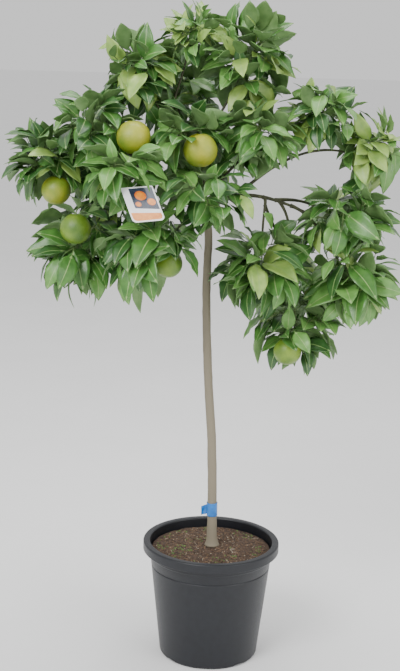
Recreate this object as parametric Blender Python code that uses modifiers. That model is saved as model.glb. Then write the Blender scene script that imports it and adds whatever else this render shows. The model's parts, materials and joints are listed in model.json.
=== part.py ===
"""A sweet orange tree in its nursery pot, with every limb and every mass of foliage a solid of its own.

Metres, +Z up. The origin is the middle of the pot's flat underside, and the front is towards -Y.
"""

import math
import random
from dataclasses import dataclass

import bmesh
import bpy
from mathutils import Matrix, Quaternion, Vector
from mathutils.bvhtree import BVHTree

# Space between solids that meet
CLEAR = 0.0003

# Pot
POT_HEIGHT = 0.2596
RIM_RADIUS = 0.150
LIP_HEIGHT = 0.020
LIP_CURL = 0.0035
COLLAR_RADIUS = 0.1368
COLLAR_FOOT = 0.0330        # below the rim's top
SHOULDER_RADIUS = 0.1338
GROOVE_DROP = 0.0540        # below the rim's top
GROOVE_DEPTH = 0.0011
BASE_RADIUS = 0.1090
BASE_CORNER = 0.0060
POT_WALL = 0.0022
POT_FLOOR = 0.0075
POT_STEPS = 32
CHANNELS = 8
CHANNEL_TURN = math.radians(-95)
CHANNEL_WIDTH = 0.030
CHANNEL_HEIGHT = 0.0042
CHANNEL_INNER = 0.070
DRAIN_RADIUS = 0.006
DRAIN_RING = 0.086

# Soil
SOIL_TOP = 0.2470
SOIL_EDGE = 0.2405
SOIL_FLAT = 0.026

# Trunk: its lean as (x, z) from the soil to the fork
TRUNK_LEAN = ((0.002, SOIL_TOP + CLEAR), (-0.004, 0.466), (-0.018, 0.644), (-0.026, 0.812), (-0.025, 0.934),
              (-0.032, 1.001))
TRUNK_FOOT = 0.0104
TRUNK_TOP = 0.0080
ROOT_FLARE = 0.0065
FLARE_REACH = 0.018
TRUNK_RINGS = 14

# Ribbon round the trunk
BAND_MIDDLE = 0.330
BAND_HEIGHT = 0.030
BAND_FILM = 0.0007
BAND_TAIL = 0.013

# Hang label: its middle, and the runs of its top edge and of its side
CARD_MIDDLE = Vector((-0.152, -0.262, 1.031))
CARD_ACROSS = Vector((0.912, 0.404, 0.060))
CARD_DOWN = Vector((0.332, -0.651, -0.682))
CARD_WIDTH = 0.065
CARD_LENGTH = 0.085
CARD_THICK = 0.0008
CARD_CORNER = 0.009
STRAP_WIDTH = 0.003
STRAP_THICK = 0.001
STRAP_PLACE = 0.16          # left of the top edge's middle, as a share of the width
LOOP_WIRE = 0.0010

# Limbs
TIP_RADIUS = 0.0021
LIMB_STEP = 0.045
TRUNK_SIDES = 12
BOUGH_SIDES = 6
THIN_BOUGH = 0.004
ENTRY = 0.62                # where a bough ends, as a share of its mass's radius

# Foliage
STEM_END = 0.0012
SHOOT_FOOT = 0.0012
SHOOT_END = 0.0007
TWIG_SIDES = 3
STEM_STEPS = 3
STEM_NECK = 0.004           # the stretch in line with the bough
SHOOT_STEPS = 3
SHOOT_REACH = 0.66          # where shoots end, as a share of the mass's radius
LEAF_REACH = 1.12           # how far leaves may reach, as a share of the mass's radius
WALL_GAP = 0.0008           # from the wall between two masses
GOLDEN = math.radians(137.508)
LEAF_TURN = math.radians(52)
LEAF_TRIES = 6
LEAVES_PER_SHOOT = 3
LEAF_WIDTH = 0.44           # of its length
LEAF_THICK = 0.016
LEAF_FOLD = 0.055
LEAF_CURL = 0.10
LEAF_BARE = 0.14            # the share at its root that may pass beside other leaves
STALK_RADIUS = 0.0015

UP = Vector((0, 0, 1))


@dataclass
class Mass:
    """A mass of foliage, the bough that carries it and how it grows."""

    centre: tuple
    radii: tuple
    parent: str = "trunk"
    along: float = 0.97
    arch: float = 0.0
    girth: float = 0.0036
    droop: float = 0.30
    leaf: float = 0.088
    shoots: int = 4
    tips: tuple = ()
    fruit: tuple = ()
    seed: int = 1


MASSES = {
    "left_crest": Mass((-0.173, 0.000, 1.270), (0.074, 0.110, 0.092), "trunk", 0.995, girth=0.0058,
                       droop=-0.25, tips=((-0.176, 0.00, 1.362), (-0.205, 0.02, 1.325))),
    "right_leader": Mass((0.049, 0.000, 1.300), (0.086, 0.110, 0.111), "left_crest", 0.34, arch=-0.01,
                         girth=0.0042, droop=-0.30, tips=((0.041, 0.00, 1.412), (0.13, 0.0, 1.355))),
    "middle_crest": Mass((-0.070, 0.010, 1.345), (0.053, 0.090, 0.071), "left_crest", 0.72, arch=-0.01,
                         girth=0.0030, droop=-0.35, leaf=0.066, shoots=5, tips=((-0.086, 0.01, 1.411),)),
    "left_tip": Mass((-0.352, -0.020, 1.088), (0.095, 0.100, 0.077), "trunk", 0.955, arch=0.030,
                     girth=0.0055, droop=0.05, fruit=((-0.339, -0.060, 1.030, 0.030),),
                     tips=((-0.452, -0.03, 1.098), (-0.438, -0.05, 1.017), (-0.405, 0.0, 1.165))),
    "left_shoulder": Mass((-0.258, -0.050, 1.153), (0.089, 0.120, 0.084), "left_tip", 0.42, arch=0.01,
                          fruit=((-0.179, -0.125, 1.146, 0.034),), droop=0.10),
    "left_fall": Mass((-0.290, -0.060, 0.925), (0.087, 0.120, 0.107), "left_tip", 0.56, arch=0.02,
                      droop=0.75, fruit=((-0.292, -0.130, 0.962, 0.031),), tips=((-0.252, -0.05, 0.797),), seed=2),
    "left_front": Mass((-0.198, -0.170, 1.080), (0.082, 0.100, 0.066), "left_tip", 0.22, arch=0.02,
                       droop=0.25),
    "heart": Mass((-0.035, -0.160, 1.038), (0.086, 0.110, 0.066), "trunk", 0.93, arch=0.015,
                  girth=0.0042, droop=0.35),
    "front_fall": Mass((-0.141, -0.160, 0.942), (0.091, 0.120, 0.103), "trunk", 0.88, arch=0.02,
                       droop=0.75, fruit=((-0.105, -0.150, 0.900, 0.029),), tips=((-0.163, -0.15, 0.806),)),
    "fruit_heart": Mass((-0.072, -0.090, 1.145), (0.076, 0.110, 0.071), "left_crest", 0.12, arch=0.01,
                        fruit=((-0.047, -0.150, 1.126, 0.034),), droop=0.15),
    "right_heart": Mass((0.069, -0.070, 1.148), (0.085, 0.120, 0.067), "trunk", 0.985, arch=0.01,
                        girth=0.0044, droop=0.15),
    "right_shoulder": Mass((0.254, -0.050, 0.992), (0.111, 0.120, 0.066), "trunk", 0.965, arch=0.030,
                           girth=0.0056, droop=0.35, tips=((0.368, -0.05, 0.985),)),
    "right_reach": Mass((0.301, -0.020, 1.130), (0.057, 0.080, 0.081), "right_shoulder", 0.30, arch=0.055,
                        girth=0.0034, droop=0.30, shoots=5, tips=((0.360, -0.02, 1.126), (0.335, 0.0, 1.205))),
    "right_arm": Mass((0.199, -0.030, 1.193), (0.077, 0.090, 0.064), "right_reach", 0.62, girth=0.0026,
                      droop=0.05, shoots=5, tips=((0.255, 0.0, 1.252),)),
    "right_fall": Mass((0.086, -0.070, 0.895), (0.095, 0.120, 0.099), "right_shoulder", 0.55, arch=0.02,
                       droop=0.55, tips=((-0.004, -0.08, 0.925),)),
    "right_drop": Mass((0.278, -0.060, 0.866), (0.083, 0.100, 0.087), "right_shoulder", 0.80, arch=0.02,
                       droop=0.70, leaf=0.096, tips=((0.368, -0.06, 0.83),)),
    "right_hem": Mass((0.168, -0.020, 0.752), (0.097, 0.110, 0.082), "right_shoulder", 0.70, arch=0.02,
                      girth=0.0030, droop=0.60, fruit=((0.147, -0.060, 0.706, 0.029),)),
    "back_left": Mass((-0.286, 0.170, 1.078), (0.102, 0.110, 0.087), "left_tip", 0.32, arch=0.02,
                      droop=0.30, fruit=((-0.300, 0.225, 1.040, 0.032),)),
    "back_left_fall": Mass((-0.224, 0.130, 0.943), (0.097, 0.110, 0.097), "back_left", 0.50, arch=0.02,
                           girth=0.0030, droop=0.70),
    "back_crest": Mass((-0.100, 0.150, 1.235), (0.100, 0.110, 0.093), "left_crest", 0.50, arch=0.0,
                       droop=0.0),
    "back_heart": Mass((-0.048, 0.190, 1.083), (0.098, 0.110, 0.083), "trunk", 0.945, arch=0.02,
                       girth=0.0044, droop=0.35, fruit=((-0.030, 0.250, 1.050, 0.033),)),
    "back_right": Mass((0.277, 0.150, 0.954), (0.093, 0.100, 0.071), "right_shoulder", 0.66, arch=0.02,
                       droop=0.40),
    "back_right_fall": Mass((0.164, 0.130, 0.811), (0.098, 0.100, 0.103), "right_fall", 0.45, arch=0.03,
                            girth=0.0030, droop=0.65, seed=2),
}

COLOURS = {
    "pot": ((0.030, 0.034, 0.042), 0.45),
    "soil": ((0.060, 0.036, 0.024), 0.95),
    "bark": ((0.190, 0.165, 0.110), 0.80),
    "young_bark": ((0.110, 0.150, 0.060), 0.70),
    "leaf": ((0.085, 0.210, 0.050), 0.40),
    "film": ((0.020, 0.300, 0.700), 0.35),
    "card": ((0.850, 0.850, 0.840), 0.35),
}


def clear_scene():
    """Remove whatever the file opened with."""
    for item in list(bpy.data.objects):
        bpy.data.objects.remove(item, do_unlink=True)


def new_collection(name):
    group = bpy.data.collections.new(name)
    bpy.context.scene.collection.children.link(group)
    return group


def finish(name):
    """The Principled material of one finish, made once."""
    material = bpy.data.materials.get(name)
    if material is None:
        colour, roughness = COLOURS[name]
        material = bpy.data.materials.new(name)
        material.use_nodes = True
        shader = material.node_tree.nodes["Principled BSDF"]
        shader.inputs["Base Color"].default_value = (*colour, 1)
        shader.inputs["Roughness"].default_value = roughness
        shader.inputs["Metallic"].default_value = 0
        material.diffuse_color = (*colour, 1)
    return material


def new_object(name, data, group, material=None):
    item = bpy.data.objects.new(name, data)
    group.objects.link(item)
    if material is not None:
        data.materials.clear()
        data.materials.append(finish(material))
    return item


def realised(item):
    """The evaluated mesh of an object, which is then removed."""
    bpy.context.view_layer.update()
    graph = bpy.context.evaluated_depsgraph_get()
    mesh = bpy.data.meshes.new_from_object(item.evaluated_get(graph))
    mesh.transform(item.matrix_world)
    bpy.data.objects.remove(item, do_unlink=True)
    return mesh


def welded(mesh, distance=1e-6):
    """Close a curve's caps onto its side."""
    work = bmesh.new()
    work.from_mesh(mesh)
    bmesh.ops.remove_doubles(work, verts=work.verts, dist=distance)
    bmesh.ops.recalc_face_normals(work, faces=work.faces)
    work.to_mesh(mesh)
    work.free()
    return mesh


def bezier(start, first, second, end, share):
    rest = 1 - share
    return (start * rest ** 3 + first * 3 * rest ** 2 * share + second * 3 * rest * share ** 2
            + end * share ** 3)


def smooth_path(points, count):
    """Even samples of a curve through the points."""
    ends = [points[0] * 2 - points[1], *points, points[-1] * 2 - points[-2]]
    path = []
    for index in range(count + 1):
        place = index / count * (len(points) - 1)
        piece = min(int(place), len(points) - 2)
        share = place - piece
        before, start, end, after = ends[piece:piece + 4]
        path.append(bezier(start, start + (end - before) / 6, end - (after - start) / 6, end, share))
    return path


def tube(points, radii, sides, group):
    """A closed tapering tube along the points, as a mesh."""
    curve = bpy.data.curves.new("tube", "CURVE")
    curve.dimensions = "3D"
    curve.use_fill_caps = True
    spline = curve.splines.new("POLY")
    spline.points.add(len(points) - 1)
    for knot, point, radius in zip(spline.points, points, radii):
        knot.co = (*point, 1)
        knot.radius = radius
    item = new_object("tube", curve, group)
    ring = bpy.data.curves.new("ring", "CURVE")
    outline = ring.splines.new("POLY")
    outline.points.add(sides - 1)
    for index, knot in enumerate(outline.points):
        turn = math.tau * index / sides
        knot.co = (math.cos(turn), math.sin(turn), 0, 1)
    outline.use_cyclic_u = True
    section = new_object("ring", ring, group)
    curve.bevel_mode = "OBJECT"
    curve.bevel_object = section
    mesh = welded(realised(item))
    bpy.data.objects.remove(section, do_unlink=True)
    return mesh


def tree_of(mesh):
    """A search tree of a mesh, to test what it touches."""
    corners = [vertex.co.copy() for vertex in mesh.vertices]
    faces = [tuple(face.vertices) for face in mesh.polygons]
    return BVHTree.FromPolygons(corners, faces)


class Limb:
    """A trunk or bough: its centre line and its radius along it."""

    def __init__(self, points, radii):
        self.points = points
        self.radii = radii

    def at(self, share):
        """The point, direction and radius at a share of the limb's length."""
        place = min(share, 0.9999) * (len(self.points) - 1)
        index = int(place)
        part = place - index
        run = self.points[index + 1] - self.points[index]
        radius = self.radii[index] * (1 - part) + self.radii[index + 1] * part
        return self.points[index] + run * part, run.normalized(), radius

    def mesh(self, sides, group, margin=0.0):
        """The limb's solid, or one that stands the margin outside it."""
        points = list(self.points)
        run = (points[-1] - points[-2]).normalized()
        points[-1] = points[-1] + run * margin
        grow = margin / math.cos(math.pi / sides)
        return tube(points, [radius + grow for radius in self.radii], sides, group)


def radius_towards(mass, way):
    """An ellipsoid's radius in one direction."""
    return 1 / math.sqrt(sum((part / radius) ** 2 for part, radius in zip(way, mass.radii)))


def walls_of(name):
    """The planes between one mass and the others, as normals and limits."""
    mass = MASSES[name]
    centre = Vector(mass.centre)
    walls = []
    for other_name, other in MASSES.items():
        if other_name == name:
            continue
        line = Vector(other.centre) - centre
        span = line.length
        way = line / span
        own = radius_towards(mass, way)
        its = radius_towards(other, way)
        place = (span ** 2 + own ** 2 - its ** 2) / (2 * span)
        place = min(max(place, 0.3 * span), 0.7 * span)
        walls.append((way, way.dot(centre) + place - WALL_GAP))
    return walls


def inside(point, walls):
    return all(way.dot(point) < limit for way, limit in walls)


def within(point, mass, reach):
    """Whether a point lies in the mass's ellipsoid, grown by reach."""
    offset = point - Vector(mass.centre)
    return sum((part / radius) ** 2 for part, radius in zip(offset, mass.radii)) < reach ** 2


def trunk_limb():
    line = [Vector((x, 0, z)) for x, z in TRUNK_LEAN]
    points = smooth_path(line, TRUNK_RINGS)
    foot = points[0]
    points.insert(1, foot + UP * FLARE_REACH / 2)
    radii = []
    for point in points:
        height = point.z - foot.z
        share = height / (line[-1].z - foot.z)
        flare = ROOT_FLARE * math.exp(-height / FLARE_REACH * 1.6)
        radii.append(TRUNK_FOOT + (TRUNK_TOP - TRUNK_FOOT) * share + flare)
    return Limb(points, radii)


def bough_limb(name, limbs):
    """A bough from its parent's centre line to where it enters its mass."""
    mass = MASSES[name]
    start, run, _ = limbs[mass.parent].at(mass.along)
    centre = Vector(mass.centre)
    walls = walls_of(name)
    back = (start - centre).normalized()
    share = ENTRY
    entry = centre + back * radius_towards(mass, back) * share
    while not inside(entry + back * 0.006, walls) and share > 0.1:
        share -= 0.04
        entry = centre + back * radius_towards(mass, back) * share
    span = (entry - start).length
    lift = UP * mass.arch
    lead = (run * 0.45 - back).normalized()
    steps = max(4, math.ceil(span / LIMB_STEP))
    points = []
    for index in range(steps + 1):
        points.append(bezier(start, start + lead * span / 3 + lift, entry + back * span / 3 + lift, entry,
                             index / steps))
    radii = [mass.girth + (TIP_RADIUS - mass.girth) * index / steps for index in range(steps + 1)]
    return Limb(points, radii)


def leaf_template():
    """The corners and faces of an eight-sided body: -Z is the root and +Z the tip."""
    work = bmesh.new()
    bmesh.ops.create_uvsphere(work, u_segments=4, v_segments=2, radius=1)
    work.verts.ensure_lookup_table()
    corners = [vertex.co.copy() for vertex in work.verts]
    faces = [tuple(vertex.index for vertex in face.verts) for face in work.faces]
    work.free()
    return corners, faces


@dataclass
class Leaf:
    """A leaf: where it is rooted, which way it points, which way its upper side faces and its length."""

    root: Vector
    way: Vector
    face: Vector
    length: float

    def corners(self, template, bare=0.0):
        """The leaf's corners, folded along its midrib and curled down at the tip."""
        across = self.way.cross(self.face)
        result = []
        for corner in template:
            along = (corner.z + 1) / 2 - 0.06 * (1 - abs(corner.z))
            along = bare + along * (1 - bare)
            lift = LEAF_FOLD * abs(corner.x) + LEAF_THICK / 2 * corner.y - LEAF_CURL * max(corner.z, 0)
            side = corner.x * LEAF_WIDTH / 2
            result.append(self.root + (self.way * along + across * side + self.face * lift) * self.length)
        return result


class Growth:
    """The stem, shoots, leaves and fruit of one mass."""

    def __init__(self, name, limb, obstacles, template):
        self.mass = MASSES[name]
        self.centre = Vector(self.mass.centre)
        self.walls = walls_of(name)
        self.random = random.Random(self.mass.seed * 1000 + sum(map(ord, name)))
        self.obstacles = obstacles
        self.template, self.faces = template
        self.twigs = []
        self.leaves = []
        self.bodies = []
        tip, run, radius = limb.at(1.0)
        self.grow_stem(limb.points[-1] + run * CLEAR, run, radius)

    def grow_stem(self, entry, run, radius):
        """The stem, from the bough's tip through the middle of the mass."""
        ahead = (self.centre - entry).normalized()
        far = self.centre + ahead * radius_towards(self.mass, ahead) * 0.35
        span = (far - entry).length
        hang = UP * -0.10 * self.mass.droop * span
        neck = entry + run * STEM_NECK
        points = [entry]
        points += [bezier(neck, neck + run * span / 3, far - ahead * span / 3 - hang, far + hang,
                          step / STEM_STEPS) for step in range(STEM_STEPS + 1)]
        fall = (STEM_END - radius) / (STEM_STEPS + 1)
        self.stem = Limb(points, [radius + fall * step for step in range(STEM_STEPS + 2)])
        self.ahead = ahead

    def touches(self, tree):
        return any(tree.overlap(other) for other in self.obstacles)

    def grow_shoot(self, way, tip, group):
        """One shoot from the stem to a tip; none where it would leave the space or touch a limb."""
        share = 0.12 + 0.80 * (0.5 + 0.5 * way.dot(self.ahead))
        start, run, _ = self.stem.at(share)
        span = (tip - start).length
        rise = UP * 0.12 * span * (1 if self.mass.droop < 0.5 else 0.6)
        end_way = (way - UP * 0.25 * self.mass.droop).normalized()
        points = [bezier(start, start + (run + way).normalized() * span * 0.35 + rise,
                         tip - end_way * span * 0.3 + rise, tip, step / SHOOT_STEPS)
                  for step in range(SHOOT_STEPS + 1)]
        if not all(inside(point, self.walls) for point in points):
            return None
        radii = [SHOOT_FOOT + (SHOOT_END - SHOOT_FOOT) * step / SHOOT_STEPS for step in range(SHOOT_STEPS + 1)]
        mesh = tube(points, radii, TWIG_SIDES, group)
        if self.touches(tree_of(mesh)):
            bpy.data.meshes.remove(mesh)
            return None
        self.bodies.append(mesh)
        return Limb(points, radii)

    def grow_shoots(self, group):
        """Shoots to the named tips, then shoots spread evenly over the mass."""
        mass = self.mass
        for tip in mass.tips:
            way = (Vector(tip) - self.centre).normalized()
            shoot = self.grow_shoot(way, Vector(tip) - way * mass.leaf * 0.92, group)
            if shoot is not None:
                self.twigs.append((shoot, True))
        turn = self.random.uniform(0, math.tau)
        count = max(mass.shoots - len(mass.tips), 2)
        for index in range(count):
            for attempt in range(3):
                height = 1 - 2 * (index + 0.5) / count + self.random.uniform(-0.15, 0.15)
                height = min(max(height, -1), 1)
                flat = math.sqrt(1 - height ** 2)
                around = turn + index * GOLDEN + attempt * 0.7
                way = Vector((flat * math.cos(around), flat * math.sin(around), height))
                way = (way - UP * 0.35 * mass.droop).normalized()
                stretch = radius_towards(mass, way) * SHOOT_REACH * self.random.uniform(0.80, 1.05)
                shoot = self.grow_shoot(way, self.centre + way * stretch, group)
                if shoot is not None:
                    self.twigs.append((shoot, False))
                    break

    def seat_leaf(self, root, run, turn, spread, length):
        """A leaf's place: spread from the shoot, hung by the droop, with its upper side to the light."""
        side = run.orthogonal().normalized()
        side.rotate(Quaternion(run, turn))
        way = run * math.cos(spread) + side * math.sin(spread) - UP * self.mass.droop
        way.normalize()
        out = root - self.centre
        light = UP + Vector((out.x, out.y, 0)).normalized() * 0.7
        face = (light - way * way.dot(light)).normalized()
        return Leaf(root, way, face, length)

    def fits(self, leaf, free):
        """Whether a leaf keeps to the space and clear of limbs, twigs, fruit and leaves."""
        corners = leaf.corners(self.template)
        if not all(inside(corner, self.walls) for corner in corners):
            return False
        if not free and not all(within(corner, self.mass, LEAF_REACH) for corner in corners):
            return False
        body = BVHTree.FromPolygons(leaf.corners(self.template, LEAF_BARE), self.faces)
        if self.touches(body):
            return False
        whole = BVHTree.FromPolygons(corners, self.faces)
        if self.touches(whole):
            return False
        return not any(body.overlap(other) for other in self.taken)

    def grow_leaves(self):
        """Leaves up each shoot by the golden angle, with one at its tip."""
        self.taken = [tree_of(mesh) for mesh in self.bodies]
        for number, (shoot, free) in enumerate(self.twigs):
            turn = self.random.uniform(0, math.tau)
            for index in range(LEAVES_PER_SHOOT, -1, -1):
                share = 1.0 if index == LEAVES_PER_SHOOT else 0.30 + 0.66 * index / LEAVES_PER_SHOOT
                root, run, _ = shoot.at(share)
                spread = math.radians(12 if share == 1.0 else 62 - 30 * share)
                length = self.mass.leaf * self.random.uniform(0.80, 1.12)
                if free and share == 1.0:
                    length = self.mass.leaf
                for attempt in range(LEAF_TRIES):
                    twist = turn + index * GOLDEN + attempt * LEAF_TURN
                    size = length * (1 - 0.05 * attempt)
                    leaf = self.seat_leaf(root, run, twist, spread, size)
                    if free and share == 1.0 and attempt == 0:
                        leaf.way = (Vector(self.mass.tips[number]) - root).normalized()
                        leaf.face = (leaf.face - leaf.way * leaf.way.dot(leaf.face)).normalized()
                    if self.fits(leaf, free):
                        self.leaves.append(leaf)
                        self.taken.append(BVHTree.FromPolygons(leaf.corners(self.template, LEAF_BARE), self.faces))
                        break

    def grow_fruit(self, group):
        """Each fruit, hung by a stalk from the nearest twig."""
        for x, y, z, radius in self.mass.fruit:
            middle = Vector((x, y, z))
            top = middle + UP * radius
            limbs = [self.stem] + [shoot for shoot, _ in self.twigs]
            seats = [limb.at(step / 8)[0] for limb in limbs for step in range(2, 8)]
            seat = min(seats, key=lambda point: (point - top).length)
            knee = (seat + top) / 2 + UP * 0.15 * (seat - top).length
            self.bodies.append(tube([seat, knee, top - UP * radius * 0.25],
                                    [STALK_RADIUS] * 3, TWIG_SIDES, group))
            self.bodies.append(fruit_mesh(middle, radius))


def fruit_mesh(middle, radius):
    work = bmesh.new()
    bmesh.ops.create_icosphere(work, subdivisions=2, radius=radius)
    bmesh.ops.translate(work, verts=work.verts, vec=middle)
    mesh = bpy.data.meshes.new("fruit")
    work.to_mesh(mesh)
    work.free()
    return mesh


def leaf_mesh(leaf, template, faces):
    mesh = bpy.data.meshes.new("leaf")
    mesh.from_pydata(leaf.corners(template), [], faces)
    return welded(mesh)


def largest_body(mesh):
    """Keep the largest closed body, which drops scraps and fills sealed hollows."""
    work = bmesh.new()
    work.from_mesh(mesh)
    bmesh.ops.remove_doubles(work, verts=work.verts, dist=1e-6)
    left = set(work.faces)
    bodies = []
    while left:
        reach = [left.pop()]
        body = set(reach)
        while reach:
            for edge in reach.pop().edges:
                for face in edge.link_faces if len(edge.link_faces) == 2 else ():
                    if face in left:
                        left.discard(face)
                        body.add(face)
                        reach.append(face)
        bodies.append(body)
    keep = max(bodies, key=len)
    scraps = [face for face in work.faces if face not in keep]
    bmesh.ops.delete(work, geom=scraps, context="FACES")
    bmesh.ops.triangulate(work, faces=work.faces)
    work.to_mesh(mesh)
    work.free()
    return mesh


def joined(name, base, others, group, material):
    """One solid from a base mesh and others that run into it."""
    pieces = bpy.data.collections.new(name + "_pieces")
    bpy.context.scene.collection.children.link(pieces)
    for index, mesh in enumerate(others):
        new_object(f"{name}_piece_{index}", mesh, pieces)
    item = new_object(name, base, group)
    union = item.modifiers.new("join", "BOOLEAN")
    union.operation = "UNION"
    union.operand_type = "COLLECTION"
    union.solver = "EXACT"
    union.collection = pieces
    mesh = largest_body(realised(item))
    for piece in list(pieces.objects):
        bpy.data.objects.remove(piece, do_unlink=True)
    bpy.data.collections.remove(pieces)
    return new_object(name, mesh, group, material)


def turned(name, profile, steps, group, material):
    """A body turned about the vertical axis from its closed outline of (radius, height)."""
    mesh = bpy.data.meshes.new(name)
    work = bmesh.new()
    knots = [work.verts.new((radius, 0, height)) for radius, height in profile]
    for index in range(len(knots) - 1):
        work.edges.new((knots[index], knots[index + 1]))
    if profile[0][0] > 0 or profile[-1][0] > 0:
        work.edges.new((knots[-1], knots[0]))
    work.to_mesh(mesh)
    work.free()
    item = new_object(name, mesh, group, material)
    screw = item.modifiers.new("turn", "SCREW")
    screw.steps = steps
    screw.render_steps = steps
    screw.use_merge_vertices = True
    screw.merge_threshold = 0.0001
    return item


def wall_radius(height):
    """The pot's outer radius below its collar."""
    top = POT_HEIGHT - COLLAR_FOOT
    return BASE_RADIUS + (SHOULDER_RADIUS - BASE_RADIUS) * (height - BASE_CORNER) / (top - BASE_CORNER)


def arc(centre, radius, start, end, count):
    """Points on an arc, from one angle to the other in degrees."""
    turns = [math.radians(start + (end - start) * index / count) for index in range(count + 1)]
    return [(centre[0] + radius * math.cos(turn), centre[1] + radius * math.sin(turn)) for turn in turns]


def pot_outline():
    top = POT_HEIGHT
    skirt = RIM_RADIUS - POT_WALL
    collar_foot = top - COLLAR_FOOT
    groove = top - GROOVE_DROP
    outer = arc((RIM_RADIUS - LIP_CURL, top - LIP_CURL), LIP_CURL, 90, 0, 3)
    outer += [(RIM_RADIUS, top - LIP_HEIGHT), (skirt, top - LIP_HEIGHT), (skirt, top - LIP_CURL - POT_WALL),
              (COLLAR_RADIUS, top - LIP_CURL - POT_WALL), (COLLAR_RADIUS, collar_foot + 0.002),
              (SHOULDER_RADIUS, collar_foot)]
    outer += [(wall_radius(groove + 0.0015), groove + 0.0015), (wall_radius(groove) - GROOVE_DEPTH, groove),
              (wall_radius(groove - 0.0015), groove - 0.0015)]
    outer += arc((BASE_RADIUS - BASE_CORNER, BASE_CORNER), BASE_CORNER, 0, -90, 3)
    inner = [(0, 0), (0, POT_FLOOR), (wall_radius(POT_FLOOR) - POT_WALL, POT_FLOOR),
             (SHOULDER_RADIUS - POT_WALL, collar_foot), (COLLAR_RADIUS - POT_WALL, collar_foot + 0.002),
             (COLLAR_RADIUS - POT_WALL, top - LIP_CURL)]
    inner += arc((COLLAR_RADIUS - POT_WALL + LIP_CURL, top - LIP_CURL), LIP_CURL, 180, 90, 2)[1:]
    return outer, inner


def cutter(name, mesh, group):
    item = new_object(name, mesh, group)
    item.hide_render = True
    item.display_type = "WIRE"
    return item


def cut(item, tool, name="cut"):
    change = item.modifiers.new(name, "BOOLEAN")
    change.operation = "DIFFERENCE"
    change.solver = "EXACT"
    change.object = tool
    return change


def make_pot(parts, cutters):
    """The pot: a thin wall under a turned-down lip, with drain channels under its floor."""
    outer, inner = pot_outline()
    pot = turned("pot", outer + inner, POT_STEPS, parts, "pot")
    grooves = bmesh.new()
    drains = bmesh.new()
    for index in range(CHANNELS):
        turn = Matrix.Rotation(CHANNEL_TURN + math.tau * index / CHANNELS, 4, "Z")
        length = BASE_RADIUS + 0.02 - CHANNEL_INNER
        size = Matrix.Diagonal((length, CHANNEL_WIDTH, CHANNEL_HEIGHT * 2, 1))
        place = turn @ Matrix.Translation((CHANNEL_INNER + length / 2, 0, 0)) @ size
        bmesh.ops.create_cube(grooves, size=1, matrix=place)
        place = turn @ Matrix.Translation((DRAIN_RING, 0, POT_FLOOR / 2))
        bmesh.ops.create_cone(drains, cap_ends=True, segments=8, radius1=DRAIN_RADIUS, radius2=DRAIN_RADIUS,
                              depth=POT_FLOOR * 2, matrix=place)
    for name, work in (("drain_channels", grooves), ("drain_holes", drains)):
        mesh = bpy.data.meshes.new(name)
        work.to_mesh(mesh)
        work.free()
        cut(pot, cutter(name, mesh, cutters), name)
    return pot


def make_soil(parts):
    """The filling: it keeps clear of the pot all round and rises a little to the trunk."""
    gap = POT_WALL + CLEAR * 1.6
    collar_foot = POT_HEIGHT - COLLAR_FOOT
    edge = SHOULDER_RADIUS - gap
    profile = [(0, SOIL_TOP), (SOIL_FLAT, SOIL_TOP), (edge * 0.62, SOIL_TOP - 0.0025), (edge, SOIL_EDGE),
               (edge, collar_foot), (wall_radius(POT_FLOOR + CLEAR) - gap, POT_FLOOR + CLEAR),
               (0, POT_FLOOR + CLEAR)]
    return turned("soil", profile, POT_STEPS, parts, "soil")


def make_band(limb, parts):
    """A ribbon of plain film round the trunk, with a short tail."""
    foot = limb.points[0].z
    share = (BAND_MIDDLE - foot) / (limb.points[-1].z - foot)
    middle, run, radius = min((limb.at(share + step / 500) for step in range(-40, 40)),
                              key=lambda place: abs(place[0].z - BAND_MIDDLE))
    inner = radius + CLEAR * 2.5
    outer = inner + BAND_FILM
    half = BAND_HEIGHT / 2
    profile = [(outer, half), (outer, -half), (inner, -half), (inner, half)]
    ring = turned("band_ring", profile, 20, parts, "film")
    lean = UP.rotation_difference(run)
    ring.rotation_mode = "QUATERNION"
    ring.rotation_quaternion = lean
    ring.location = middle
    tail = bmesh.new()
    size = Matrix.Diagonal((BAND_TAIL, BAND_FILM, BAND_HEIGHT * 0.72, 1))
    bmesh.ops.create_cube(tail, size=1, matrix=size)
    bmesh.ops.translate(tail, verts=tail.verts, vec=(-(inner + BAND_FILM / 2 + BAND_TAIL / 2), 0, -half * 0.2))
    bmesh.ops.transform(tail, matrix=Matrix.Translation(middle) @ lean.to_matrix().to_4x4(), verts=tail.verts)
    mesh = bpy.data.meshes.new("band_tail")
    tail.to_mesh(mesh)
    tail.free()
    return joined("trunk_band", realised(ring), [mesh], parts, "film")


def card_outline():
    """The card's corners: nearly square at the top and round at the bottom."""
    half = CARD_WIDTH / 2
    drop = CARD_LENGTH / 2
    small = CARD_CORNER / 4
    points = arc((half - small, drop - small), small, 90, 0, 2)
    points += arc((half - CARD_CORNER, CARD_CORNER - drop), CARD_CORNER, 0, -90, 4)
    points += arc((CARD_CORNER - half, CARD_CORNER - drop), CARD_CORNER, -90, -180, 4)
    points += arc((small - half, drop - small), small, 180, 90, 2)
    return points


def bar_between(start, end, wide, thick, facing):
    """A flat bar from one point to another."""
    run = end - start
    along = run.normalized()
    side = along.cross(facing).normalized()
    normal = side.cross(along)
    work = bmesh.new()
    bmesh.ops.create_cube(work, size=1, matrix=Matrix.Diagonal((wide, thick, run.length, 1)))
    place = Matrix((side, normal, along)).transposed().to_4x4()
    place.translation = (start + end) / 2
    bmesh.ops.transform(work, matrix=place, verts=work.verts)
    bmesh.ops.recalc_face_normals(work, faces=work.faces)
    mesh = bpy.data.meshes.new("bar")
    work.to_mesh(mesh)
    work.free()
    return mesh


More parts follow.
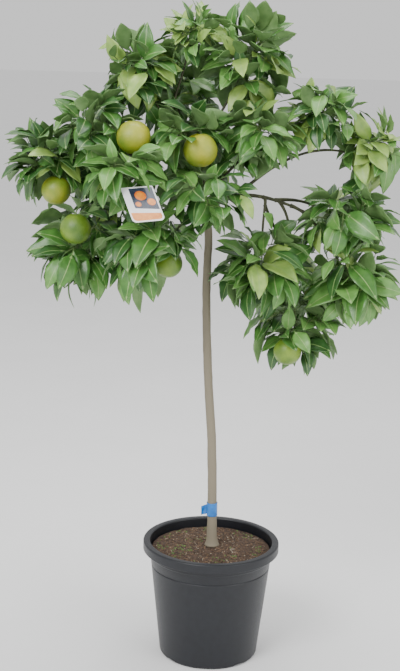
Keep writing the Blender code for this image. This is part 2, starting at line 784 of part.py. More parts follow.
def make_label(limb, parts):
    """The hang label: a card on a strap that loops round a bough."""
    seat, run, radius = limb.at(0.86)
    curve = bpy.data.curves.new("card", "CURVE")
    curve.dimensions = "2D"
    curve.fill_mode = "BOTH"
    curve.extrude = CARD_THICK / 2
    spline = curve.splines.new("POLY")
    outline = card_outline()
    spline.points.add(len(outline) - 1)
    for knot, (x, y) in zip(spline.points, outline):
        knot.co = (x, y, 0, 1)
    spline.use_cyclic_u = True
    card = new_object("card", curve, parts)
    across = CARD_ACROSS.normalized()
    normal = across.cross(-CARD_DOWN).normalized()
    rise = normal.cross(across)
    place = Matrix((across, rise, normal)).transposed().to_4x4()
    place.translation = CARD_MIDDLE
    card.matrix_world = place
    base = welded(realised(card))
    hole = CARD_MIDDLE + rise * (CARD_LENGTH / 2 - 0.003) - across * CARD_WIDTH * STRAP_PLACE
    ring_radius = radius + CLEAR * 2 + LOOP_WIRE
    toward = (hole - seat)
    toward = (toward - run * toward.dot(run)).normalized()
    rim = seat + toward * ring_radius
    strap = bar_between(rim, hole, STRAP_WIDTH, STRAP_THICK, normal)
    bpy.ops.mesh.primitive_torus_add(major_radius=ring_radius, minor_radius=LOOP_WIRE, major_segments=12,
                                     minor_segments=4)
    ring = bpy.context.active_object
    ring.rotation_mode = "QUATERNION"
    ring.rotation_quaternion = UP.rotation_difference(run)
    ring.location = seat
    return joined("hang_label", base, [strap, realised(ring)], parts, "card")


def make_limbs(parts, cutters):
    """The trunk and its boughs, each bough cut clear of the limb it leaves and of any it meets."""
    limbs = {}
    tools = {}
    for name in ("trunk", *MASSES):
        limb = bough_limb(name, limbs) if limbs else trunk_limb()
        sides = TRUNK_SIDES if name == "trunk" else BOUGH_SIDES
        mesh = limb.mesh(sides, parts)
        body = tree_of(mesh)
        met = [tool for tool in tools.values() if body.overlap(tree_of(tool.data))]
        node = name if name == "trunk" else "bough_" + name
        for tool in met:
            piece = new_object(node, mesh, parts)
            cut(piece, tool)
            mesh = largest_body(realised(piece))
        new_object(node, mesh, parts, "bark" if limb.radii[0] > THIN_BOUGH else "young_bark")
        tools[name] = cutter("clear_of_" + name, limb.mesh(sides, cutters, CLEAR), cutters)
        limbs[name] = limb
    return limbs


def make_foliage(limbs, label, parts):
    """Every mass, grown by the same rule and joined to one solid."""
    template = leaf_template()
    obstacles = [tree_of(limb.mesh(6, parts, CLEAR * 2)) for limb in limbs.values()]
    obstacles.append(tree_of(label.data))
    fruit = {}
    for name, mass in MASSES.items():
        fruit[name] = [tree_of(fruit_mesh(Vector(row[:3]), row[3] + CLEAR * 2)) for row in mass.fruit]
    for name in MASSES:
        others = [tree for other, trees in fruit.items() for tree in trees]
        growth = Growth(name, limbs[name], obstacles + others, template)
        growth.grow_shoots(parts)
        growth.grow_leaves()
        leaves = [leaf_mesh(leaf, *template) for leaf in growth.leaves]
        growth.grow_fruit(parts)
        stem = growth.stem.mesh(TWIG_SIDES, parts)
        item = joined("foliage_" + name, stem, growth.bodies + leaves, parts, "leaf")
        print(name, len(growth.twigs), "shoots", len(growth.leaves), "leaves", len(item.data.polygons), "faces")


def main():
    clear_scene()
    parts = new_collection("potted_sweet_orange_tree")
    cutters = new_collection("cutters")
    make_pot(parts, cutters)
    make_soil(parts)
    limbs = make_limbs(parts, cutters)
    make_band(limbs["trunk"], parts)
    label = make_label(limbs["left_front"], parts)
    make_foliage(limbs, label, parts)


main()
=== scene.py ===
"""The looks of a potted sweet orange tree: bark, leaves, fruit, pot, soil, ribbon and hang label."""

from __future__ import annotations

import json
import logging
import math
import random
from dataclasses import dataclass
from enum import IntEnum

import bmesh
import bpy
import numpy as np
from mathutils import Matrix, Quaternion, Vector, noise
from mathutils.bvhtree import BVHTree

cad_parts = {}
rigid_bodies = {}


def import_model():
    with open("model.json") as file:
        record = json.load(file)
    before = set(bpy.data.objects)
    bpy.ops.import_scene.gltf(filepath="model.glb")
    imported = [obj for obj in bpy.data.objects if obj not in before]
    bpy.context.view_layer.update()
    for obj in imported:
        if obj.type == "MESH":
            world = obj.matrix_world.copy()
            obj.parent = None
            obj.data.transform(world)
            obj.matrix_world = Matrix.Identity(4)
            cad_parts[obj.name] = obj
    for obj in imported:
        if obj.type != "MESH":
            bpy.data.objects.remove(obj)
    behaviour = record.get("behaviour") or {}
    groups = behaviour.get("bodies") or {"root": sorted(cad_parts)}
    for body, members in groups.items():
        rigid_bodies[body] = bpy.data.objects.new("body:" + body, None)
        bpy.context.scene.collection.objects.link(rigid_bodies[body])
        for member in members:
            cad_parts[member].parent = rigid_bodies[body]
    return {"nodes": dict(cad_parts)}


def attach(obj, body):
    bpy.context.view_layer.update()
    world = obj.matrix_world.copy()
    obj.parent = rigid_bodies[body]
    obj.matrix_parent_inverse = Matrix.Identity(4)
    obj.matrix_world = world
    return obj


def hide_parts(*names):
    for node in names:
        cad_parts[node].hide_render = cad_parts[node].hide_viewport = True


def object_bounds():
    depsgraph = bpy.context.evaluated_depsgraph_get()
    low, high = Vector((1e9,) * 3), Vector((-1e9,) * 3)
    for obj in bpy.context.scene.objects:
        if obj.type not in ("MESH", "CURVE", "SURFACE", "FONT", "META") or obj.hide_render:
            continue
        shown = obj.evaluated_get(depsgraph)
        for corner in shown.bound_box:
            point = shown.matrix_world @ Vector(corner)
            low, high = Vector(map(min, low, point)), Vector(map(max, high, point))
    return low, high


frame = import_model()

CAD_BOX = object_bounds()
LOG = logging.getLogger("orange_tree")
UP = Vector((0, 0, 1))
GOLDEN = math.radians(137.508)
MERGE = 1e-6
WALL_SHARES = (0.3, 0.7)
WALL_GAP = 0.0008
PETIOLE = 0.14
BODY = "root"
Triple = tuple[float, float, float]
Outline = list[tuple[float, float]]


@dataclass(frozen=True)
class Finish:
    """A mottled surface: two colours, a grain, a relief and a gloss."""

    name: str
    light: Triple
    dark: Triple
    rough: float = 0.5
    grain: float = 40.0
    relief: float = 0.25
    fine: float = 400.0
    stretch: float = 1.0
    coat: float = 0.0

    coat_rough = 0.25
    blend = (0.34, 0.66)
    mottle_detail = 6
    fine_detail = 4
    gloss_range = 0.10
    least_rough = 0.05
    bump_depth = 0.001

    def material(self) -> bpy.types.Material:
        """Make the finish as a node material, once.

        Returns:
            The material.
        """
        known = bpy.data.materials.get(self.name)
        if known is not None:
            return known
        material = bpy.data.materials.new(self.name)
        material.use_nodes = True
        nodes = material.node_tree.nodes
        link = material.node_tree.links.new
        shader = nodes["Principled BSDF"]
        shader.inputs["Coat Weight"].default_value = self.coat
        shader.inputs["Coat Roughness"].default_value = self.coat_rough
        place = nodes.new("ShaderNodeTexCoord")
        turn = nodes.new("ShaderNodeMapping")
        turn.inputs["Scale"].default_value = (1, 1, self.stretch)
        link(place.outputs["Object"], turn.inputs["Vector"])
        mottle = nodes.new("ShaderNodeTexNoise")
        mottle.inputs["Scale"].default_value = self.grain
        mottle.inputs["Detail"].default_value = self.mottle_detail
        link(turn.outputs["Vector"], mottle.inputs["Vector"])
        ramp = nodes.new("ShaderNodeValToRGB")
        for stop, position, colour in zip(ramp.color_ramp.elements, self.blend, (self.dark, self.light)):
            stop.position = position
            stop.color = (*colour, 1)
        link(mottle.outputs["Fac"], ramp.inputs["Fac"])
        link(ramp.outputs["Color"], shader.inputs["Base Color"])
        fine = nodes.new("ShaderNodeTexNoise")
        fine.inputs["Scale"].default_value = self.fine
        fine.inputs["Detail"].default_value = self.fine_detail
        link(turn.outputs["Vector"], fine.inputs["Vector"])
        gloss = nodes.new("ShaderNodeMapRange")
        gloss.inputs["To Min"].default_value = max(self.rough - self.gloss_range, self.least_rough)
        gloss.inputs["To Max"].default_value = min(self.rough + self.gloss_range, 1.0)
        link(fine.outputs["Fac"], gloss.inputs["Value"])
        link(gloss.outputs["Result"], shader.inputs["Roughness"])
        bump = nodes.new("ShaderNodeBump")
        bump.inputs["Strength"].default_value = self.relief
        bump.inputs["Distance"].default_value = self.bump_depth
        link(fine.outputs["Fac"], bump.inputs["Height"])
        link(bump.outputs["Normal"], shader.inputs["Normal"])
        return material


class LeafSide(IntEnum):
    """The material slots of a leaf: four tints of its upper side, the pale one a painted sheen, its underside and
    its midrib.
    """

    DEEP = 0
    MID = 1
    # The pale tint is a painted sheen: a lighter green that stands for light glancing off the upper side.
    PALE = 2
    YOUNG = 3
    UNDER = 4
    RIB = 5


LEAF_FINISHES = (
    Finish("leaf_deep", (0.044, 0.135, 0.026), (0.022, 0.080, 0.016), 0.36, 60, 0.20, 500, coat=0.15),
    Finish("leaf_mid", (0.085, 0.230, 0.040), (0.048, 0.150, 0.025), 0.36, 60, 0.20, 500, coat=0.15),
    # The pale upper side is a painted sheen, a lighter green where light glances off the leaf.
    Finish("leaf_painted_sheen", (0.160, 0.350, 0.078), (0.100, 0.255, 0.050), 0.40, 60, 0.20, 500, coat=0.10),
    Finish("leaf_young", (0.330, 0.480, 0.110), (0.215, 0.370, 0.075), 0.42, 60, 0.15, 500, coat=0.10),
    Finish("leaf_under", (0.190, 0.320, 0.115), (0.130, 0.245, 0.080), 0.60, 60, 0.20, 500),
    Finish("leaf_rib", (0.310, 0.450, 0.170), (0.220, 0.350, 0.110), 0.50, 60, 0.10, 500),
)
BARK = Finish("bark", (0.082, 0.071, 0.040), (0.024, 0.022, 0.014), 0.80, 55, 0.90, 260, 0.35)
BOUGH_BARK = Finish("bough_bark", (0.100, 0.105, 0.050), (0.036, 0.038, 0.020), 0.75, 80, 0.60, 400, 0.5)
TWIG = Finish("green_twig", (0.150, 0.230, 0.070), (0.075, 0.120, 0.040), 0.60, 90, 0.40, 500, 0.5)
PEEL = Finish("green_peel", (0.210, 0.330, 0.030), (0.075, 0.165, 0.016), 0.38, 26, 0.75, 620, coat=0.10)
RIPE = Finish("turning_peel", (0.440, 0.440, 0.035), (0.180, 0.275, 0.022), 0.38, 18, 0.75, 620, coat=0.10)
POT = Finish("pot_plastic", (0.0090, 0.0105, 0.0145), (0.0065, 0.0076, 0.0108), 0.40, 70, 0.25, 900)
SOIL = Finish("potting_soil", (0.115, 0.070, 0.045), (0.028, 0.017, 0.012), 0.95, 160, 1.00, 700)
CHIP = Finish("bark_chips", (0.200, 0.125, 0.075), (0.050, 0.030, 0.020), 0.90, 120, 0.8, 700)
GRIT = Finish("pale_grit", (0.420, 0.360, 0.270), (0.200, 0.165, 0.115), 0.85, 120, 0.6, 900)
MOSS = Finish("moss", (0.150, 0.230, 0.060), (0.060, 0.110, 0.030), 0.85, 200, 0.8, 900)
FILM = Finish("blue_film", (0.006, 0.210, 0.660), (0.004, 0.140, 0.500), 0.34, 60, 0.35, 260, coat=0.3)
CARD = Finish("white_card", (0.860, 0.870, 0.870), (0.790, 0.800, 0.800), 0.32, 90, 0.06, 500, coat=0.4)
INK_NIGHT = Finish("card_dark_field", (0.035, 0.050, 0.085), (0.016, 0.022, 0.045), 0.30, 90, 0.05, 500, coat=0.4)
INK_ORANGE = Finish("card_orange", (0.800, 0.230, 0.020), (0.640, 0.120, 0.012), 0.30, 120, 0.05, 500, coat=0.4)
INK_AMBER = Finish("card_amber", (0.850, 0.310, 0.035), (0.740, 0.210, 0.018), 0.30, 120, 0.05, 500, coat=0.4)
FLOOR = Finish("studio_floor", (0.900, 0.900, 0.900), (0.880, 0.880, 0.880), 0.85, 3, 0.02, 30)


@dataclass
class Mass:
    """A mass of foliage, the bough that carries it and how it grows."""

    centre: Triple
    radii: Triple
    parent: str = "trunk"
    along: float = 0.97
    arch: float = 0.0
    girth: float = 0.0036
    droop: float = 0.30
    leaf: float = 0.088
    tips: tuple[Triple, ...] = ()
    fruit: tuple[tuple[float, float, float, float], ...] = ()
    young: float = 0.05
    # The share of sprays in the pale tint, which is a painted sheen.
    painted_sheen_share: float = 0.30


MASSES = {
    "left_crest": Mass((-0.173, 0.000, 1.270), (0.074, 0.110, 0.092), "trunk", 0.995, girth=0.0058, droop=-0.25,
                       tips=((-0.176, 0.00, 1.362), (-0.205, 0.02, 1.325)), young=0.20),
    "right_leader": Mass((0.049, 0.000, 1.300), (0.086, 0.110, 0.111), "left_crest", 0.34, arch=-0.01, girth=0.0042,
                         droop=-0.30, tips=((0.041, 0.00, 1.412), (0.13, 0.0, 1.355)), young=0.30),
    "middle_crest": Mass((-0.070, 0.010, 1.345), (0.053, 0.090, 0.071), "left_crest", 0.72, arch=-0.01, girth=0.0030,
                         droop=-0.35, leaf=0.066, tips=((-0.086, 0.01, 1.411),), young=0.60),
    "left_tip": Mass((-0.352, -0.020, 1.088), (0.095, 0.100, 0.077), "trunk", 0.955, arch=0.030, girth=0.0055,
                     droop=0.05, fruit=((-0.339, -0.060, 1.030, 0.030),),
                     tips=((-0.452, -0.03, 1.098), (-0.438, -0.05, 1.017), (-0.405, 0.0, 1.165))),
    "left_shoulder": Mass((-0.258, -0.050, 1.153), (0.089, 0.120, 0.084), "left_tip", 0.42, arch=0.01, droop=0.10,
                          fruit=((-0.179, -0.125, 1.146, 0.034),), young=0.10),
    "left_fall": Mass((-0.290, -0.060, 0.925), (0.087, 0.120, 0.107), "left_tip", 0.56, arch=0.02, droop=0.75,
                      fruit=((-0.292, -0.130, 0.962, 0.031),), tips=((-0.252, -0.05, 0.797),), painted_sheen_share=0.15),
    "left_front": Mass((-0.198, -0.170, 1.080), (0.082, 0.100, 0.066), "left_tip", 0.22, arch=0.02, droop=0.25,
                       painted_sheen_share=0.50),
    "heart": Mass((-0.035, -0.160, 1.038), (0.086, 0.110, 0.066), "trunk", 0.93, arch=0.015, girth=0.0042,
                  droop=0.35, painted_sheen_share=0.50),
    "front_fall": Mass((-0.141, -0.160, 0.942), (0.091, 0.120, 0.103), "trunk", 0.88, arch=0.02, droop=0.75,
                       fruit=((-0.105, -0.150, 0.900, 0.029),), tips=((-0.163, -0.15, 0.806),)),
    "fruit_heart": Mass((-0.072, -0.090, 1.145), (0.076, 0.110, 0.071), "left_crest", 0.12, arch=0.01, droop=0.15,
                        fruit=((-0.047, -0.150, 1.126, 0.034),)),
    "right_heart": Mass((0.069, -0.070, 1.148), (0.085, 0.120, 0.067), "trunk", 0.985, arch=0.01, girth=0.0044,
                        droop=0.15),
    "right_shoulder": Mass((0.254, -0.050, 0.992), (0.111, 0.120, 0.066), "trunk", 0.965, arch=0.030, girth=0.0056,
                           droop=0.35, tips=((0.368, -0.05, 0.985),)),
    "right_reach": Mass((0.301, -0.020, 1.130), (0.057, 0.080, 0.081), "right_shoulder", 0.30, arch=0.055,
                        girth=0.0034, droop=0.30, tips=((0.360, -0.02, 1.126), (0.335, 0.0, 1.205)), young=0.55),
    "right_arm": Mass((0.199, -0.030, 1.193), (0.077, 0.090, 0.064), "right_reach", 0.62, girth=0.0026, droop=0.05,
                      tips=((0.255, 0.0, 1.252),), young=0.35),
    "right_fall": Mass((0.086, -0.070, 0.895), (0.095, 0.120, 0.099), "right_shoulder", 0.55, arch=0.02, droop=0.55,
                       tips=((-0.004, -0.08, 0.925),)),
    "right_drop": Mass((0.278, -0.060, 0.866), (0.083, 0.100, 0.087), "right_shoulder", 0.80, arch=0.02, droop=0.70,
                       leaf=0.104, tips=((0.368, -0.06, 0.83), (0.272, -0.135, 0.800), (0.330, -0.11, 0.82)),
                       young=0.10, painted_sheen_share=0.80),
    "right_hem": Mass((0.168, -0.020, 0.752), (0.097, 0.110, 0.082), "right_shoulder", 0.70, arch=0.02,
                      girth=0.0030, droop=0.60, fruit=((0.147, -0.060, 0.706, 0.029),)),
    "back_left": Mass((-0.286, 0.170, 1.078), (0.102, 0.110, 0.087), "left_tip", 0.32, arch=0.02, droop=0.30,
                      fruit=((-0.300, 0.225, 1.040, 0.032),)),
    "back_left_fall": Mass((-0.224, 0.130, 0.943), (0.097, 0.110, 0.097), "back_left", 0.50, arch=0.02,
                           girth=0.0030, droop=0.70),
    "back_crest": Mass((-0.100, 0.150, 1.235), (0.100, 0.110, 0.093), "left_crest", 0.50, droop=0.0, young=0.20),
    "back_heart": Mass((-0.048, 0.190, 1.083), (0.098, 0.110, 0.083), "trunk", 0.945, arch=0.02, girth=0.0044,
                       droop=0.35, fruit=((-0.030, 0.250, 1.050, 0.033),)),
    "back_right": Mass((0.277, 0.150, 0.954), (0.093, 0.100, 0.071), "right_shoulder", 0.66, arch=0.02, droop=0.40),
    "back_right_fall": Mass((0.164, 0.130, 0.811), (0.098, 0.100, 0.103), "right_fall", 0.45, arch=0.03,
                            girth=0.0030, droop=0.65),
}
RIPER_FRUIT = ("left_shoulder", "fruit_heart", "left_tip")


def add_piece(name: str, mesh: bpy.types.Mesh, finishes: tuple[Finish, ...],
              stands_for: tuple[str, ...] = ()) -> bpy.types.Object:
    """Put a finished mesh in the scene and tell the frame what it is.

    Args:
        name: The piece's name.
        mesh: Its mesh, in place.
        finishes: A finish for each material slot.
        stands_for: The nodes that it replaces.

    Returns:
        The new object.
    """
    piece = bpy.data.objects.new(name, mesh)
    bpy.context.scene.collection.objects.link(piece)
    mesh.materials.clear()
    for finish in finishes:
        mesh.materials.append(finish.material())
    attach(piece, BODY)
    if stands_for:
        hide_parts(*stands_for)
    LOG.info("%s: %d faces", name, len(mesh.polygons))
    return piece


def mesh_of(work: bmesh.types.BMesh, name: str, smooth: bool = True) -> bpy.types.Mesh:
    """Turn a bmesh into a mesh and free it.

    Args:
        work: The bmesh.
        name: The mesh's name.
        smooth: Whether its faces are shaded smooth.

    Returns:
        The mesh.
    """
    for face in work.faces:
        face.smooth = smooth
    mesh = bpy.data.meshes.new(name)
    work.to_mesh(mesh)
    work.free()
    return mesh


def bezier(start: Vector, first: Vector, second: Vector, end: Vector, share: float) -> Vector:
    """The point at a share of a cubic curve."""
    rest = 1 - share
    return (start * rest ** 3 + first * 3 * rest ** 2 * share + second * 3 * rest * share ** 2
            + end * share ** 3)


def tubes(name: str, lines: list[tuple[list[Vector], list[float]]], sides: int) -> bpy.types.Mesh:
    """Closed tapering tubes along many lines, as one mesh.

    Args:
        name: The mesh's name.
        lines: The points and radii of each tube.
        sides: How many sides a tube has.

    Returns:
        The mesh, with its caps welded.
    """
    curve = bpy.data.curves.new(name, "CURVE")
    curve.dimensions = "3D"
    curve.use_fill_caps = True
    for points, radii in lines:
        spline = curve.splines.new("POLY")
        spline.points.add(len(points) - 1)
        for knot, point, radius in zip(spline.points, points, radii):
            knot.co = (*point, 1)
            knot.radius = radius
        spline.use_smooth = True
    ring = bpy.data.curves.new(name + "_ring", "CURVE")
    outline = ring.splines.new("POLY")
    outline.points.add(sides - 1)
    for index, knot in enumerate(outline.points):
        knot.co = (math.cos(math.tau * index / sides), math.sin(math.tau * index / sides), 0, 1)
    outline.use_cyclic_u = True
    section = bpy.data.objects.new(name + "_ring", ring)
    item = bpy.data.objects.new(name, curve)
    for each in (section, item):
        bpy.context.scene.collection.objects.link(each)
    curve.bevel_mode = "OBJECT"
    curve.bevel_object = section
    bpy.context.view_layer.update()
    graph = bpy.context.evaluated_depsgraph_get()
    mesh = bpy.data.meshes.new_from_object(item.evaluated_get(graph))
    for each in (item, section):
        bpy.data.objects.remove(each, do_unlink=True)
    work = bmesh.new()
    work.from_mesh(mesh)
    bmesh.ops.remove_doubles(work, verts=work.verts, dist=MERGE)
    bmesh.ops.recalc_face_normals(work, faces=work.faces)
    return mesh_of(work, name)


class Limb:
    """A trunk, bough or twig: its centre line and its radius along it."""

    last = 0.9999

    def __init__(self, points: list[Vector], radii: list[float]) -> None:
        """Keep the line and the radii."""
        self.points = points
        self.radii = radii

    def at(self, share: float) -> tuple[Vector, Vector, float]:
        """Measure the limb at a share of its length.

        Args:
            share: From 0 at its foot to 1 at its tip.

        Returns:
            The point, the direction and the radius there.
        """
        place = min(share, self.last) * (len(self.points) - 1)
        index = int(place)
        part = place - index
        run = self.points[index + 1] - self.points[index]
        radius = self.radii[index] * (1 - part) + self.radii[index + 1] * part
        return self.points[index] + run * part, run.normalized(), radius


def radius_towards(mass: Mass, way: Vector) -> float:
    """An ellipsoid's radius in one direction."""
    return 1 / math.sqrt(sum((part / radius) ** 2 for part, radius in zip(way, mass.radii)))


def walls_of(name: str) -> list[tuple[Vector, float]]:
    """The planes between one mass and the others.

    Args:
        name: The mass's name.

    Returns:
        Each plane's normal and limit.
    """
    mass = MASSES[name]
    centre = Vector(mass.centre)
    walls = []
    for other in (row for key, row in MASSES.items() if key != name):
        line = Vector(other.centre) - centre
        span = line.length
        way = line / span
        own, its = radius_towards(mass, way), radius_towards(other, way)
        place = (span ** 2 + own ** 2 - its ** 2) / (2 * span)
        least, most = (share * span for share in WALL_SHARES)
        walls.append((way, way.dot(centre) + min(max(place, least), most) - WALL_GAP))
    return walls


@dataclass
class Skeleton:
    """The trunk and boughs, along the same lines as the frame's solids."""

    lean: tuple[tuple[float, float], ...] = ((0.002, 0.2473), (-0.004, 0.466), (-0.018, 0.644), (-0.026, 0.812),
                                             (-0.025, 0.934), (-0.032, 1.001))
    rings: int = 60
    foot_rings: tuple[float, float] = (0.003, 0.008)
    tangent: int = 6
    foot: float = 0.0104
    top: float = 0.0080
    flare: float = 0.0065
    flare_reach: float = 0.018
    flare_fall: float = 1.6
    tip: float = 0.0021
    entry: float = 0.62
    entry_step: float = 0.04
    entry_least: float = 0.1
    entry_margin: float = 0.006
    lead: float = 0.45
    bough_steps: int = 24
    collar: float = 0.35
    collar_reach: float = 1.6
    trunk_sides: int = 28
    bough_sides: int = 12
    trunk_relief: float = 0.0010
    bough_relief: float = 0.0003
    ridges: Triple = (260, 260, 45)
    knots: float = 30
    knot_shift: Triple = (7, 3, 1)
    knot_share: float = 0.8
    plain_foot: float = 0.001

    def trunk(self) -> Limb:
        """The trunk's line, with its root flare.

        Returns:
            The trunk.
        """
        knots = [Vector((x, 0, z)) for x, z in self.lean]
        ends = [knots[0] * 2 - knots[1], *knots, knots[-1] * 2 - knots[-2]]
        points = []
        for index in range(self.rings + 1):
            place = index / self.rings * (len(knots) - 1)
            piece = min(int(place), len(knots) - 2)
            before, start, end, after = ends[piece:piece + 4]
            points.append(bezier(start, start + (end - before) / self.tangent, end - (after - start) / self.tangent,
                                 end, place - piece))
        for index, lift in enumerate(self.foot_rings, 1):
            points.insert(index, points[0] + UP * lift)
        radii = []
        for point in points:
            height = point.z - knots[0].z
            share = height / (knots[-1].z - knots[0].z)
            radii.append(self.foot + (self.top - self.foot) * share
                         + self.flare * math.exp(-height / self.flare_reach * self.flare_fall))
        return Limb(points, radii)

    def bough(self, name: str, limbs: dict[str, Limb]) -> Limb:
        """A bough from its parent's centre line to where it enters its mass.

        Args:
            name: The mass that it carries.
            limbs: The limbs made so far.

        Returns:
            The bough.
        """
        mass = MASSES[name]
        start, run, _ = limbs[mass.parent].at(mass.along)
        centre = Vector(mass.centre)
        walls = walls_of(name)
        back = (start - centre).normalized()
        share = self.entry
        entry = centre + back * radius_towards(mass, back) * share
        while share > self.entry_least and any(way.dot(entry + back * self.entry_margin) >= limit
                                               for way, limit in walls):
            share -= self.entry_step
            entry = centre + back * radius_towards(mass, back) * share
        span = (entry - start).length
        lift = UP * mass.arch
        lead = (run * self.lead - back).normalized()
        steps = self.bough_steps
        points = [bezier(start, start + lead * span / 3 + lift, entry + back * span / 3 + lift, entry, step / steps)
                  for step in range(steps + 1)]
        radii = [mass.girth + (self.tip - mass.girth) * step / steps
                 + self.collar * mass.girth * math.exp(-step / self.collar_reach) for step in range(steps + 1)]
        return Limb(points, radii)

    def grow(self) -> dict[str, Limb]:
        """Grow the trunk, and each bough after its parent.

        Returns:
            All limbs by name.
        """
        limbs = {"trunk": self.trunk()}
        for name in MASSES:
            limbs[name] = self.bough(name, limbs)
        return limbs

    def dress(self, limbs: dict[str, Limb]) -> None:
        """Cover the limbs with bark in relief.

        Args:
            limbs: All limbs.
        """
        boughs = tuple("bough_" + name for name in MASSES)
        covers = (("trunk_bark", ["trunk"], self.trunk_sides, self.trunk_relief, BARK, ("trunk",)),
                  ("bough_bark", list(MASSES), self.bough_sides, self.bough_relief, BOUGH_BARK, boughs))
        for name, members, sides, depth, finish, nodes in covers:
            mesh = tubes(name, [(limbs[key].points, limbs[key].radii) for key in members], sides)
            mesh.update()
            for vertex in mesh.vertices:
                spot = vertex.co
                ridge = noise.noise(Vector([part * scale for part, scale in zip(spot, self.ridges)]))
                knot = noise.noise(spot * self.knots + Vector(self.knot_shift))
                if spot.z > self.lean[0][1] + self.plain_foot:
                    vertex.co = spot + vertex.normal * depth * (ridge + self.knot_share * knot)
            add_piece(name, mesh, (finish,), nodes)


@dataclass
class Leaf:
    """A leaf: its root, the way it points, the way its upper side faces, its length and its tint."""

    root: Vector
    way: Vector
    face: Vector
    length: float
    tint: int = LeafSide.MID

    width: float = 0.44
    belly: float = 0.44
    fold: float = 0.055
    thick: float = 0.008
    curl: float = 0.10

    def middle(self) -> Vector:
        """The leaf's middle."""
        return self.root + self.way * self.length / 2

    def corners(self, bare: float = 0.0) -> list[Vector]:
        """Six corners that stand for the leaf in tests of what it touches.

        Args:
            bare: The share left out at the root.

        Returns:
            The root, tip, left, right, upper and lower corners.
        """
        across = self.way.cross(self.face)
        rows = ((0, 0, 0), (1, 0, -self.curl), (self.belly, -1, self.fold), (self.belly, 1, self.fold),
                (self.belly, 0, self.thick), (self.belly, 0, -self.thick))
        return [self.root + (self.way * (bare + along * (1 - bare)) + across * side * self.width / 2
                             + self.face * lift) * self.length for along, side, lift in rows]


LEAF_FACES = ((0, 2, 4), (0, 4, 3), (0, 3, 5), (0, 5, 2), (1, 4, 2), (1, 3, 4), (1, 5, 3), (1, 2, 5))


def body_of(leaf: Leaf) -> BVHTree:
    """A search tree of a leaf's simple body, without its petiole."""
    return BVHTree.FromPolygons(leaf.corners(PETIOLE), LEAF_FACES)


def tree_of(item: bpy.types.Object) -> BVHTree:
    """A search tree of a frame node's mesh."""
    mesh = item.data
    return BVHTree.FromPolygons([vertex.co.copy() for vertex in mesh.vertices],
                                [tuple(face.vertices) for face in mesh.polygons])


